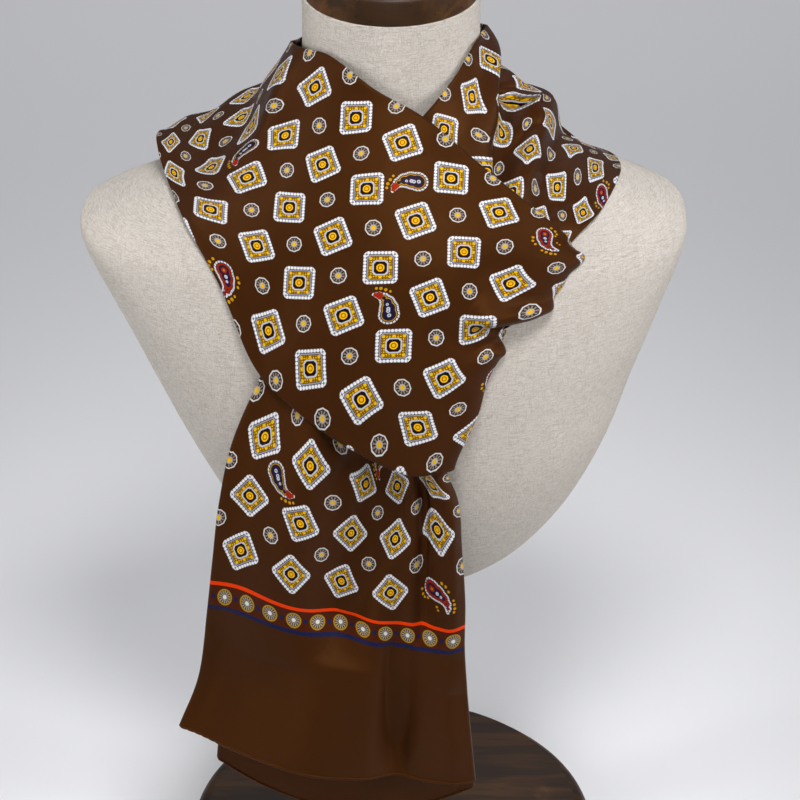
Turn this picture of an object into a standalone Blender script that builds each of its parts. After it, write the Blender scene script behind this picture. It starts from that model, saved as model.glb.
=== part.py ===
"""Skinny silk scarf wound once round the neck of a linen half-bust dress form.

The form stands on a turned wooden base and pole.  Units in the tables are millimetres, the
mesh is in metres, +Z is up, the front of the form faces -Y and the viewer's right is +X.
The origin is the centre of the base's underside.

The scarf is a flat double-layer strip.  It comes from behind the neck over both shoulders.
The end over the viewer's left shoulder (the chest wrap) spreads over the chest, crosses the
other end, turns round its outer edge and hangs behind it.  The end over the viewer's right
shoulder (the shoulder band) passes under the chest wrap and hangs in front as the long tail.
"""

import math
from collections import namedtuple

import bmesh
import bpy
from mathutils import Vector
from mathutils.bvhtree import BVHTree

MM = 0.001

# ---- scarf cloth -------------------------------------------------------------------------
# Places on the strip count in repeats of its printed lattice, which are 42.2 mm on flat cloth.
SELVEDGE = -0.55  # across position of the scarf's neck-side edge, in repeats
CLOTH_WALL = 1.2  # mm, the two layers of silk and the air between them
FORM_GAP = 1.3  # mm, least distance from the cloth's middle to the form
LAYER_GAP = 1.9  # mm, least distance between the middles of two layers of the scarf
SEAM_GAP = 0.3  # mm, between stretches that meet and between stacked parts
BLEND_LINES = 6  # lines of a stretch over which it eases into the neighbour it meets
ACROSS_FACES = 20  # faces across each stretch that meets another
FOLD_TAPER = 0.7  # how soon a fold reaches its height from its ends, less is sooner
FOLD_FALL = 1.4  # how fast a fold falls off to its sides
SEARCH_DEPTH = 30.0  # mm, how deep under an obstacle a point of cloth is still found
PAST_EDGE = 3.0  # mm, how far past an obstacle's edge it still holds the cloth off
SMOOTHING = 0.4  # share of the way to its neighbours that a point moves when evened out

# ---- form and stand ----------------------------------------------------------------------
NECK_LEAN = math.radians(3.0)  # the neck's top face dips to the front
NECK_TOP = 716.0  # mm above the floor, at the neck's axis
LEAN_FROM = 664.0  # mm, height where the neck starts to lean
CAP_RADIUS = 59.5
POLE_RADIUS = 11.0
COLLAR_RADIUS = 21.0
COLLAR_HEIGHT = 11.0
BASE_RADIUS = 158.0
BASE_TOP_RADIUS = 144.0
BASE_HEIGHT = 28.0

FORM_SIDES = 48
TURNED_SIDES = 48
POLE_SIDES = 20

# A row for each level of the form: half widths to the viewer's left and right, depths to the
# front and back of the neck's axis, and how square the level's outline is.
FormLevel = namedtuple("FormLevel", "height left right front back squareness")
FORM_LEVELS = [
    FormLevel(255, 22, 24, 20, 20, 2.0),
    FormLevel(258, 37, 42, 32, 26, 2.0),
    FormLevel(263, 50, 58, 43, 32, 2.05),
    FormLevel(270, 63, 72, 54, 38, 2.1),
    FormLevel(280, 76, 87, 64, 44, 2.15),
    FormLevel(292, 89, 101, 73, 50, 2.2),
    FormLevel(309, 103, 116, 83, 56, 2.2),
    FormLevel(334, 121, 133, 94, 63, 2.25),
    FormLevel(366, 138, 149, 107, 73, 2.25),
    FormLevel(400, 154, 162, 116, 81, 2.3),
    FormLevel(440, 172, 174, 122, 89, 2.3),
    FormLevel(475, 187, 186, 124, 94, 2.35),
    FormLevel(503, 200, 195, 122, 96, 2.4),
    FormLevel(526, 211, 203, 117, 96, 2.45),
    FormLevel(545, 218, 207, 111, 94, 2.5),
    FormLevel(556, 216, 206, 107, 92, 2.45),
    FormLevel(564, 203, 200, 104, 90, 2.35),
    FormLevel(573, 180, 179, 100, 87, 2.25),
    FormLevel(583, 155, 154, 96, 84, 2.15),
    FormLevel(596, 129, 128, 89, 80, 2.1),
    FormLevel(609, 105, 104, 81, 75, 2.05),
    FormLevel(621, 87, 86, 73, 70, 2.0),
    FormLevel(634, 73, 72, 66, 65, 2.0),
    FormLevel(648, 65, 64, 62, 62, 2.0),
    FormLevel(664, 61.5, 61.5, 61, 61, 2.0),
    FormLevel(692, 60.5, 60.5, 60.5, 60.5, 2.0),
    FormLevel(NECK_TOP, 60.5, 60.5, 60.5, 60.5, 2.0),
]

# A row for each section across the scarf.  along is the place on the printed lattice, shown
# the across position where the section ends or turns under, then come the neck-side edge, the
# middle and the outer edge of the section.
Section = namedtuple("Section", "along shown x0 y0 z0 xm ym zm x1 y1 z1")

NECK_BACK = [
    Section(-8.8, 3.5, 49, 48, 674, 96, 54, 615, 155, 42, 582),
    Section(-7.6, 2.5, 26, 66, 666, 60, 80, 613, 104, 88, 570),
    Section(-6.6, 2.4, 0, 72, 662, 0, 90, 608, 0, 105, 552),
    Section(-5.6, 2.5, -26, 66, 665, -60, 80, 613, -104, 89, 570),
    Section(-3.5, 3.5, -52, 47, 669, -109, 53, 616, -160, 42, 594),
]

CHEST_WRAP = [
    Section(-3.5, 3.5, -52, 47, 669, -109, 53, 616, -160, 42, 594),
    Section(-2.7, 3.5, -63, 24, 671, -118, 32, 612, -164, 26, 599),
    Section(-2.0, 3.5, -68, 4, 677, -120, 8, 610, -163, 8, 599),
    Section(-1.0, 3.5, -62, -28, 686, -108, -36, 614, -156, -18, 589),
    Section(0.0, 3.8, -40, -53, 689, -84, -66, 620, -138, -74, 577),
    Section(1.0, 4.2, -11, -71, 673, -63, -94, 604, -114, -106, 545),
    Section(2.0, 4.6, 21, -77, 656, -39, -112, 585, -92, -123, 494),
    Section(3.0, 4.6, 53, -81, 629, -7, -125, 568, -62, -137, 466),
    Section(4.0, 4.6, 84, -91, 606, 26, -131, 549, -26, -145, 442),
    Section(5.0, 4.6, 111, -95, 584, 57, -132, 525, 11, -147, 422),
    Section(5.6, 4.6, 125, -93, 572, 80, -127, 519, 33, -146, 417),
    Section(5.85, 4.6, 130, -88, 567, 87, -121, 516, 44, -141, 415),
    Section(6.1, 4.6, 126, -86, 563, 83, -116, 514, 41, -137, 416),
    Section(6.35, 4.6, 117, -91, 562, 74, -115, 512, 31, -136, 419),
]

SHOULDER_BAND = [
    Section(-3.2, 3.5, 49, 48, 674, 96, 54, 615, 155, 42, 582),
    Section(-2.0, 4.1, 63, 14, 685, 110, 30, 615, 159, 22, 579),
    Section(-1.0, 4.5, 56, -28, 688, 104, -6, 619, 157, -6, 580),
    Section(0.0, 4.5, 44, -48, 674, 94, -48, 612, 142, -58, 580),
    Section(1.0, 4.5, 25, -67, 656, 80, -82, 602, 123, -84, 571),
    Section(2.0, 4.5, 2, -76, 634, 54, -97, 586, 94, -107, 545),
    Section(3.0, 4.5, -22, -88, 608, 30, -114, 555, 62, -119, 508),
    Section(4.0, 4.5, -42, -102, 576, 8, -124, 524, 47, -127, 474),
    Section(4.8, 4.5, -58, -113, 547, -8, -129, 498, 40, -131, 449),
]

FRONT_TAIL = [
    Section(4.8, 4.5, -58, -113, 547, -8, -129, 498, 40, -131, 449),
    Section(6.0, 4.5, -82, -121, 498, -22, -132, 455, 36, -134, 424),
    Section(7.0, 4.5, -107, -130, 441, -26, -137, 407, 45, -134, 396),
    Section(8.0, 4.5, -118, -135, 393, -30, -138, 362, 48, -136, 360),
    Section(9.0, 4.5, -124, -137, 347, -36, -139, 322, 51, -137, 316),
    Section(10.0, 4.5, -129, -137, 306, -38, -141, 280, 51, -138, 274),
    Section(11.3, 4.5, -137, -138, 250, -40, -144, 226, 55, -139, 216),
    Section(12.65, 4.5, -152, -141, 209, -46, -147, 174, 60, -141, 162),
]

UNDER_TAIL = [
    Section(6.9, 4.5, -22, -126, 474, 8, -127, 456, 30, -125, 436),
    Section(7.6, 4.5, -42, -125, 440, -3, -127, 421, 34, -124, 406),
    Section(8.6, 4.5, -76, -122, 396, -15, -127, 380, 41, -124, 370),
    Section(10.0, 4.5, -104, -126, 330, -26, -130, 312, 46, -126, 306),
    Section(11.6, 4.5, -118, -127, 260, -31, -132, 238, 51, -128, 232),
    Section(13.9, 4.5, -127, -127, 171, -35, -131, 128, 60, -128, 146),
]

# A row for each large fold.  It runs along the strip at the across place start, which shifts
# by drift over its length, and rises (or sinks) by height over the half width given.
Fold = namedtuple("Fold", "start drift begins ends half_width height")

NECK_BACK_FOLDS = [
    Fold(-0.05, 0.0, -10.0, -2.4, 0.42, 5.0),
    Fold(0.65, -0.1, -10.0, -2.6, 0.36, -4.0),
    Fold(1.30, 0.1, -10.0, -2.4, 0.44, 6.0),
    Fold(2.00, 0.0, -9.6, -3.0, 0.34, -3.5),
]

CHEST_WRAP_FOLDS = [
    Fold(0.55, 0.5, -4.6, 0.2, 0.50, -4.0),
    Fold(1.40, 0.4, -4.6, -0.3, 0.50, 3.0),
    Fold(2.75, 0.0, -4.9, -0.4, 0.60, 6.0),
    Fold(1.70, 0.0, 4.7, 5.9, 0.34, 7.0),
    Fold(2.35, -0.1, 4.2, 5.8, 0.40, -4.5),
]

SHOULDER_BAND_FOLDS = [
    Fold(0.45, 0.9, -4.6, 2.0, 0.38, -16.0),
    Fold(1.60, 0.5, -4.4, 1.5, 0.55, 11.0),
    Fold(3.25, 0.1, -4.2, 0.9, 0.50, -9.0),
]

FRONT_TAIL_FOLDS = [
    Fold(1.55, 0.3, 5.4, 10.4, 0.50, -7.0),
    Fold(2.45, 0.1, 5.6, 10.2, 0.42, 5.0),
    Fold(3.20, 0.0, 6.2, 13.6, 0.45, -6.0),
    Fold(0.45, 0.0, 6.4, 11.0, 0.55, 3.0),
]

UNDER_TAIL_FOLDS = [
    Fold(1.60, 0.2, 8.2, 13.0, 0.70, -3.0),
]

# Turned profiles, a row for each step from the axis at the bottom to the axis at the top.
TurnedPoint = namedtuple("TurnedPoint", "radius height")
BASE_PROFILE = [
    TurnedPoint(150.0, 0.0),
    TurnedPoint(155.5, 2.5),
    TurnedPoint(BASE_RADIUS, 8.0),
    TurnedPoint(157.5, 15.5),
    TurnedPoint(154.0, 20.5),
    TurnedPoint(148.5, 23.0),
    TurnedPoint(145.5, 24.5),
    TurnedPoint(BASE_TOP_RADIUS, BASE_HEIGHT),
]
CAP_PROFILE = [
    TurnedPoint(CAP_RADIUS - 1.5, 0.0),
    TurnedPoint(CAP_RADIUS, 1.5),
    TurnedPoint(CAP_RADIUS, 15.0),
    TurnedPoint(CAP_RADIUS - 2.0, 18.5),
    TurnedPoint(CAP_RADIUS - 8.0, 21.5),
    TurnedPoint(CAP_RADIUS - 24.0, 25.0),
    TurnedPoint(CAP_RADIUS - 45.0, 27.0),
]


def clear_scene():
    """Remove every object that the file opened with."""
    for item in list(bpy.data.objects):
        bpy.data.objects.remove(item, do_unlink=True)


def finish(name, colour, roughness, metallic=0.0):
    """Return a material of one colour."""
    material = bpy.data.materials.new(name)
    material.use_nodes = True
    shader = material.node_tree.nodes["Principled BSDF"]
    shader.inputs["Base Color"].default_value = (*colour, 1.0)
    shader.inputs["Roughness"].default_value = roughness
    shader.inputs["Metallic"].default_value = metallic
    return material


def read_rows(rows, at):
    """Read every column of a table at one value of its first column, on a smooth curve."""
    keys = [row[0] for row in rows]
    last = len(rows) - 1
    span = 0
    while span < last - 1 and at > keys[span + 1]:
        span += 1
    length = keys[span + 1] - keys[span]
    t = (at - keys[span]) / length
    values = []
    for low, high, before, after in zip(
        rows[span], rows[span + 1], rows[max(span - 1, 0)], rows[min(span + 2, last)]
    ):
        key_before = keys[max(span - 1, 0)]
        key_after = keys[min(span + 2, last)]
        slope_low = (high - before) / (keys[span + 1] - key_before) * length
        slope_high = (after - low) / (key_after - keys[span]) * length
        values.append(
            low * (1 + 2 * t) * (1 - t) ** 2
            + slope_low * t * (1 - t) ** 2
            + high * t * t * (3 - 2 * t)
            + slope_high * t * t * (t - 1)
        )
    return type(rows[0])(*values)


def new_object(name, mesh_builder, material):
    """Link a new object whose mesh is the builder's, closed and facing out."""
    bmesh.ops.recalc_face_normals(mesh_builder, faces=mesh_builder.faces)
    mesh = bpy.data.meshes.new(name)
    mesh_builder.to_mesh(mesh)
    mesh_builder.free()
    mesh.materials.append(material)
    mesh.shade_smooth()
    mesh.set_sharp_from_angle(angle=math.radians(50))
    item = bpy.data.objects.new(name, mesh)
    bpy.context.scene.collection.objects.link(item)
    return item


def bridge_rings(builder, rings):
    """Close the surface through rings of equal length, with a face over each end."""
    corners = [[builder.verts.new(point) for point in ring] for ring in rings]
    count = len(corners[0])
    for lower, upper in zip(corners, corners[1:]):
        for i in range(count):
            j = (i + 1) % count
            builder.faces.new((lower[i], lower[j], upper[j], upper[i]))
    builder.faces.new(list(reversed(corners[0])))
    builder.faces.new(corners[-1])


def turned(name, profile, sides, material, location=(0.0, 0.0, 0.0), lean=0.0):
    """Turn a profile about the vertical axis and set the piece at its place."""
    builder = bmesh.new()
    rings = []
    for step in profile:
        rings.append([
            Vector((
                step.radius * MM * math.cos(2 * math.pi * i / sides),
                step.radius * MM * math.sin(2 * math.pi * i / sides),
                step.height * MM,
            ))
            for i in range(sides)
        ])
    bridge_rings(builder, rings)
    item = new_object(name, builder, material)
    item.location = location
    item.rotation_euler = (lean, 0.0, 0.0)
    return item


def form_ring(level):
    """Return the outline of the form at one level, as points in metres."""
    power = 2.0 / level.squareness
    lean = max(0.0, level.height - LEAN_FROM) / (NECK_TOP - LEAN_FROM)
    ring = []
    for i in range(FORM_SIDES):
        angle = 2 * math.pi * i / FORM_SIDES
        across, deep = math.cos(angle), math.sin(angle)
        width = level.right if across > 0 else level.left
        depth = level.back if deep > 0 else level.front
        x = math.copysign(abs(across) ** power, across) * width
        y = math.copysign(abs(deep) ** power, deep) * depth
        z = level.height + lean * math.tan(NECK_LEAN) * y
        ring.append(Vector((x, y, z)) * MM)
    return ring


def dress_form(material):
    """Build the bust and neck as one smooth closed body."""
    builder = bmesh.new()
    bridge_rings(builder, [form_ring(level) for level in FORM_LEVELS])
    return new_object("dress_form", builder, material)


def surface_of(item):
    """Return a search tree over an object's faces."""
    builder = bmesh.new()
    builder.from_mesh(item.data)
    bmesh.ops.triangulate(builder, faces=builder.faces)
    tree = BVHTree.FromBMesh(builder)
    builder.free()
    return tree


def sheet_tree(grid, normals):
    """Return a search tree over the middle of a stretch, whose faces look away from the form."""
    columns = len(grid[0])
    points = [point for line in grid for point in line]
    faces = []
    for i in range(len(grid) - 1):
        for j in range(columns - 1):
            corner = i * columns + j
            face = (corner, corner + columns, corner + columns + 1, corner + 1)
            a, b, c = (points[k] for k in face[:3])
            if (b - a).cross(c - b).dot(normals[i][j]) < 0:
                face = tuple(reversed(face))
            faces.append(face)
    return BVHTree.FromPolygons(points, faces)


def section_point(row, t):
    """Return the point a share t of the way across a section, on the curve of its three."""
    near = 2 * (t - 0.5) * (t - 1)
    middle = 4 * t * (1 - t)
    far = 2 * t * (t - 0.5)
    return Vector((
        near * row.x0 + middle * row.xm + far * row.x1,
        near * row.y0 + middle * row.ym + far * row.y1,
        near * row.z0 + middle * row.zm + far * row.z1,
    )) * MM


def fold_height(folds, along, across):
    """Return how far the folds lift the cloth at one place, in millimetres."""
    height = 0.0
    for fold in folds:
        share = (along - fold.begins) / (fold.ends - fold.begins)
        if not 0.0 < share < 1.0:
            continue
        offset = (across - fold.start - fold.drift * share) / fold.half_width
        swell = math.sin(math.pi * share) ** FOLD_TAPER
        height += fold.height * swell * math.exp(-FOLD_FALL * offset * offset)
    return height


def grid_normals(grid, outward):
    """Return a unit normal at each point of a grid, facing away from the form."""
    normals = []
    last_row, last_column = len(grid) - 1, len(grid[0]) - 1
    for i, line in enumerate(grid):
        normals.append([])
        for j in range(len(line)):
            lengthwise = grid[min(i + 1, last_row)][j] - grid[max(i - 1, 0)][j]
            crosswise = line[min(j + 1, last_column)] - line[max(j - 1, 0)]
            normals[-1].append(lengthwise.cross(crosswise).normalized() * outward)
    return normals


def keep_clear(grid, obstacles):
    """Move points of the grid out of each obstacle by at least its gap, in millimetres."""
    for tree, gap in obstacles:
        for line in grid:
            for j, point in enumerate(line):
                spot, normal, _, _ = tree.find_nearest(point, SEARCH_DEPTH * MM)
                if spot is None:
                    continue
                depth = (point - spot).dot(normal)
                beside = (point - spot - normal * depth).length
                if depth < gap * MM and beside < PAST_EDGE * MM:
                    line[j] = point + normal * (gap * MM - depth)


def even_out(grid, rounds):
    """Relax the inner points of a grid towards their neighbours."""
    for _ in range(rounds):
        before = [[point.copy() for point in line] for line in grid]
        for i in range(1, len(grid) - 1):
            for j in range(1, len(grid[0]) - 1):
                around = before[i - 1][j] + before[i + 1][j] + before[i][j - 1] + before[i][j + 1]
                grid[i][j] = before[i][j].lerp(around / 4, SMOOTHING)


def end_line(grid, normals, last):
    """Return the line where a stretch ends, moved past it by the seam's gap, with its normals."""
    edge, inside = (-1, -2) if last else (0, 1)
    line = [
        point + (point - before).normalized() * SEAM_GAP * MM
        for point, before in zip(grid[edge], grid[inside])
    ]
    return line, normals[edge]


def ease_into(grid, line, last):
    """Shift the end of a grid onto a line, and the lines before it by less and less."""
    edge = len(grid) - 1 if last else 0
    shifts = [goal - point for goal, point in zip(line, grid[edge])]
    for k in range(BLEND_LINES):
        share = (1 - k / BLEND_LINES) ** 2
        i = edge - k if last else edge + k
        grid[i] = [point + shift * share for point, shift in zip(grid[i], shifts)]


def cloth_grid(rows, folds, lengthwise, crosswise, obstacles, outward, first_line, last_line):
    """Return the middle of a stretch of cloth as a grid of points, and its normals."""
    first, last = rows[0].along, rows[-1].along
    grid, places = [], []
    for i in range(lengthwise + 1):
        row = read_rows(rows, first + (last - first) * i / lengthwise)
        grid.append([section_point(row, j / crosswise) for j in range(crosswise + 1)])
        places.append([
            (row.along, SELVEDGE + (row.shown - SELVEDGE) * j / crosswise)
            for j in range(crosswise + 1)
        ])
    normals = grid_normals(grid, outward)
    for line, line_normals, line_places in zip(grid, normals, places):
        for j, (along, across) in enumerate(line_places):
            line[j] = line[j] + line_normals[j] * fold_height(folds, along, across) * MM
    keep_clear(grid, obstacles)
    even_out(grid, 1)
    for joined, is_last in ((first_line, False), (last_line, True)):
        if joined:
            ease_into(grid, joined[0], is_last)
    keep_clear(grid, obstacles)
    normals = grid_normals(grid, outward)
    for joined, edge in ((first_line, 0), (last_line, -1)):
        if joined:
            grid[edge], normals[edge] = joined
    return grid, normals


def cloth_wall(name, grid, normals, material):
    """Build a wall of cloth on both sides of a grid."""
    builder = bmesh.new()
    half = CLOTH_WALL / 2 * MM
    outer = [
        [builder.verts.new(p + n * half) for p, n in zip(line, line_normals)]
        for line, line_normals in zip(grid, normals)
    ]
    inner = [
        [builder.verts.new(p - n * half) for p, n in zip(line, line_normals)]
        for line, line_normals in zip(grid, normals)
    ]
    rows, columns = len(grid), len(grid[0])
    for i in range(rows - 1):
        for j in range(columns - 1):
            for sheet in (outer, inner):
                builder.faces.new((
                    sheet[i][j], sheet[i + 1][j], sheet[i + 1][j + 1], sheet[i][j + 1],
                ))
    for i in range(rows - 1):
        for j in (0, columns - 1):
            builder.faces.new((outer[i][j], outer[i + 1][j], inner[i + 1][j], inner[i][j]))
    for j in range(columns - 1):
        for i in (0, rows - 1):
            builder.faces.new((outer[i][j], outer[i][j + 1], inner[i][j + 1], inner[i][j]))
    return new_object(name, builder, material)


def stretch(name, rows, folds, divisions, obstacles, outward, material, meets=(None, None)):
    """Build one stretch of the scarf, and return its surface's search tree and end lines."""
    lengthwise, crosswise = divisions
    grid, normals = cloth_grid(rows, folds, lengthwise, crosswise, obstacles, outward, *meets)
    cloth_wall(name, grid, normals, material)
    ends = (end_line(grid, normals, False), end_line(grid, normals, True))
    return sheet_tree(grid, normals), ends


def stand(wood, pole_paint):
    """Build the base, the pole on it and the cap on the neck."""
    turned("stand_base", BASE_PROFILE, TURNED_SIDES, wood)
    pole_bottom = BASE_HEIGHT + SEAM_GAP
    pole_length = FORM_LEVELS[0].height - SEAM_GAP - pole_bottom
    profile = [
        TurnedPoint(COLLAR_RADIUS, 0.0),
        TurnedPoint(COLLAR_RADIUS, COLLAR_HEIGHT - 3.0),
        TurnedPoint(COLLAR_RADIUS - 4.0, COLLAR_HEIGHT),
        TurnedPoint(POLE_RADIUS, COLLAR_HEIGHT + 1.0),
        TurnedPoint(POLE_RADIUS, pole_length),
    ]
    turned("stand_pole", profile, POLE_SIDES, pole_paint, (0.0, 0.0, pole_bottom * MM))
    cap_at = (0.0, 0.0, (NECK_TOP + SEAM_GAP) * MM)
    turned("neck_cap", CAP_PROFILE, TURNED_SIDES, wood, cap_at, NECK_LEAN)


def main():
    """Build the form, its stand and the scarf."""
    clear_scene()
    linen = finish("linen", (0.72, 0.68, 0.62), 0.9)
    wood = finish("dark_wood", (0.10, 0.045, 0.02), 0.4)
    pole_paint = finish("pole_wood", (0.06, 0.03, 0.015), 0.45)
    silk = finish("printed_silk", (0.12, 0.05, 0.02), 0.35)

    form = dress_form(linen)
    stand(wood, pole_paint)
    on_form = [(surface_of(form), FORM_GAP)]
    under, _ = stretch(
        "scarf_under_tail", UNDER_TAIL, UNDER_TAIL_FOLDS, (16, 12), on_form, 1, silk
    )
    over_under = on_form + [(under, LAYER_GAP)]
    band, band_ends = stretch(
        "scarf_shoulder_band", SHOULDER_BAND, SHOULDER_BAND_FOLDS, (28, ACROSS_FACES),
        over_under, 1, silk,
    )
    tail, _ = stretch(
        "scarf_front_tail", FRONT_TAIL, FRONT_TAIL_FOLDS, (26, ACROSS_FACES),
        over_under, 1, silk, (band_ends[1], None),
    )
    over_both = [(band, LAYER_GAP), (tail, LAYER_GAP)] + on_form
    _, wrap_ends = stretch(
        "scarf_chest_wrap", CHEST_WRAP, CHEST_WRAP_FOLDS, (44, ACROSS_FACES), over_both, -1, silk
    )
    stretch(
        "scarf_neck_back", NECK_BACK, NECK_BACK_FOLDS, (26, ACROSS_FACES),
        on_form, -1, silk, (band_ends[0], wrap_ends[0]),
    )


main()
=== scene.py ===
"""Looks of a skinny silk scarf worn on a linen half-bust dress form.

The scarf is one long double-layer strip of printed silk twill.  It lies round the neck, crosses
on the chest and hangs in front as two tails.  The form is covered with natural linen and stands
on a turned wooden base.  Sizes are in millimetres unless a name says otherwise, and become
metres where a mesh is made.  Places on the strip are (across, strip) pairs, counted in repeats
of the printed lattice: across runs from the neck-side fold, strip runs along the scarf.
"""

import logging
import math
from dataclasses import dataclass, field
from enum import Enum
from typing import Iterable, NamedTuple, Optional, Sequence, Union

import bmesh
import bpy
import numpy as np
from mathutils import Matrix, Vector
from mathutils.bvhtree import BVHTree
from mathutils.noise import noise


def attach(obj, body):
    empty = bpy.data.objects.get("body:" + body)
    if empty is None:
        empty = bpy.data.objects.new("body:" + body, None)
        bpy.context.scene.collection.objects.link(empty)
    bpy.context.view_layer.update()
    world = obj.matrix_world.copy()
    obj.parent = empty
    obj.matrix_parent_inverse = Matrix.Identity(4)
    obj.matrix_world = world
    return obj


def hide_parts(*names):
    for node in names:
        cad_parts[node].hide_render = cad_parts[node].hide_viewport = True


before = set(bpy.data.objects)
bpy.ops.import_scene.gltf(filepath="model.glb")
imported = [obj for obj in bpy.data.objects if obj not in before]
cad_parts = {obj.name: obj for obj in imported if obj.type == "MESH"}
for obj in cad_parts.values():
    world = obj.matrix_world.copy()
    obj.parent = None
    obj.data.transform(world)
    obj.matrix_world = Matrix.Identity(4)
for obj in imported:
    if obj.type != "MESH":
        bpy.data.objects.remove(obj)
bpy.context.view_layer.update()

LOG = logging.getLogger("silk_scarf")

MM = 0.001
ROOT = "root"
REPEAT = 42.2  # mm of flat cloth in one repeat of the printed lattice
FLAT_WIDTH = 0.217  # m, the strip laid flat
SELVEDGE = -0.55  # across place of the neck-side fold
FAR_FOLD = 4.6  # across place of the outer fold
BAND_TURN = -12.0  # strip place = BAND_TURN - along, on the band and the front tail
FRONT_HEM = -24.65  # strip place of the front tail's hem
UNDER_HEM = 13.9  # strip place of the under tail's hem
NECK_LEAN = math.radians(3.0)  # by which the neck's top leans to the front
UV_STRIP = "strip"
UV_SURFACE = "surface"


class Slot(Enum):
    """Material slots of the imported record."""

    SILK = "printed_silk"
    LINEN = "linen"
    WOOD = "turned_wood"
    POLE = "pole_wood"


class Facing(Enum):
    """Side of a stretch's grid that looks away from the form, as the sign of its cross product."""

    ALONG_FIRST = 1
    ACROSS_FIRST = -1


class Motif(Enum):
    """Colour ways of the paisley."""

    BLUE = 0.0
    RED = 1.0


class Hand(Enum):
    """Side to which a paisley's tail bends, seen with its fat end up."""

    LEFT = 1.0
    RIGHT = -1.0


# ---- tables of the cloth -------------------------------------------------------------------


class Section(NamedTuple):
    """One section across the scarf: neck-side edge, middle and outer edge, in millimetres."""

    along: float
    shown: float
    x0: float
    y0: float
    z0: float
    xm: float
    ym: float
    zm: float
    x1: float
    y1: float
    z1: float


class Fold(NamedTuple):
    """One fold that runs along the strip at the across place start, shifting by drift.

    It lifts the cloth by height, in millimetres, over half_width, in repeats, and pushes the
    lifted cloth sideways by lean, in millimetres, towards the outer fold.
    """

    start: float
    drift: float
    begins: float
    ends: float
    half_width: float
    height: float
    lean: float = 0.0


class Crease(NamedTuple):
    """One crease that runs freely between two (across, along) places."""

    across0: float
    along0: float
    across1: float
    along1: float
    width0: float
    width1: float
    height: float


class Slip(NamedTuple):
    """One place where the print has slipped along or across the cloth's grid, fading round it."""

    across: float
    along: float
    reach_across: float
    reach_along: float
    move_across: float
    move_along: float


class Pull(NamedTuple):
    """One place where the cloth is pulled by (x, y, z) millimetres, fading round it."""

    across: float
    along: float
    reach_across: float
    reach_along: float
    x: float
    y: float
    z: float


# Sections of each stretch.  Two stretches that meet share the section where they meet.

NECK_BACK = (
    Section(-8.8, 3.5, 49, 48, 674, 96, 54, 615, 155, 42, 582),
    Section(-7.75, 2.5, 26, 66, 666, 60, 80, 613, 104, 88, 570),
    Section(-6.3, 2.4, 0, 72, 662, 0, 90, 608, 0, 105, 552),
    Section(-4.85, 2.5, -26, 66, 665, -60, 80, 613, -104, 89, 570),
    Section(-3.5, 3.5, -52, 47, 669, -109, 53, 616, -160, 42, 594),
)
CHEST_WRAP = (
    Section(-3.5, 3.5, -52, 47, 669, -109, 53, 616, -160, 42, 594),
    Section(-2.7, 3.5, -63, 24, 671, -118, 32, 612, -164, 26, 599),
    Section(-2.0, 3.5, -68, 4, 677, -120, 8, 610, -163, 8, 599),
    Section(-1.0, 3.5, -62, -28, 686, -108, -36, 614, -156, -18, 589),
    Section(0.0, 3.8, -40, -53, 689, -84, -66, 620, -138, -74, 577),
    Section(1.0, 4.2, -11, -71, 673, -63, -94, 604, -114, -106, 545),
    Section(2.0, 4.6, 21, -77, 656, -39, -112, 585, -92, -123, 494),
    Section(3.0, 4.6, 53, -81, 629, -7, -125, 568, -62, -137, 466),
    Section(4.0, 4.6, 84, -91, 606, 26, -131, 549, -26, -145, 442),
    Section(5.0, 4.6, 111, -95, 584, 57, -132, 525, 11, -147, 422),
    Section(5.6, 4.6, 125, -93, 572, 80, -127, 519, 33, -146, 417),
    Section(5.85, 4.6, 130, -88, 567, 87, -121, 516, 44, -141, 415),
    Section(6.1, 4.6, 126, -86, 563, 83, -116, 514, 41, -137, 416),
    Section(6.35, 4.6, 117, -91, 562, 74, -115, 512, 31, -136, 419),
)
SHOULDER_BAND = (
    Section(-3.2, 3.5, 49, 48, 674, 96, 54, 615, 155, 42, 582),
    Section(-2.0, 4.1, 63, 14, 685, 110, 30, 615, 159, 22, 579),
    Section(-1.0, 4.5, 56, -28, 688, 104, -6, 619, 157, -6, 580),
    Section(0.0, 4.5, 44, -48, 674, 94, -48, 612, 142, -58, 580),
    Section(1.0, 4.5, 25, -67, 656, 80, -82, 602, 123, -84, 571),
    Section(2.0, 4.5, 2, -76, 634, 54, -97, 586, 94, -107, 545),
    Section(3.0, 4.5, -22, -88, 608, 30, -114, 555, 62, -119, 508),
    Section(4.0, 4.5, -42, -102, 576, 8, -124, 524, 47, -127, 474),
    Section(4.8, 4.5, -58, -113, 547, -8, -129, 498, 40, -131, 449),
)
FRONT_TAIL = (
    Section(4.8, 4.5, -58, -113, 547, -8, -129, 498, 40, -131, 449),
    Section(6.0, 4.5, -82, -121, 498, -22, -132, 455, 36, -134, 424),
    Section(7.0, 4.5, -107, -130, 441, -26, -137, 407, 45, -134, 396),
    Section(8.0, 4.5, -118, -135, 393, -30, -138, 362, 48, -136, 360),
    Section(9.0, 4.5, -124, -137, 347, -36, -139, 322, 51, -137, 316),
    Section(10.0, 4.5, -129, -137, 306, -38, -141, 280, 51, -138, 274),
    Section(11.3, 4.5, -137, -138, 250, -40, -144, 226, 55, -139, 216),
    Section(12.65, 4.5, -152, -141, 209, -46, -147, 174, 60, -141, 162),
)
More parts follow.
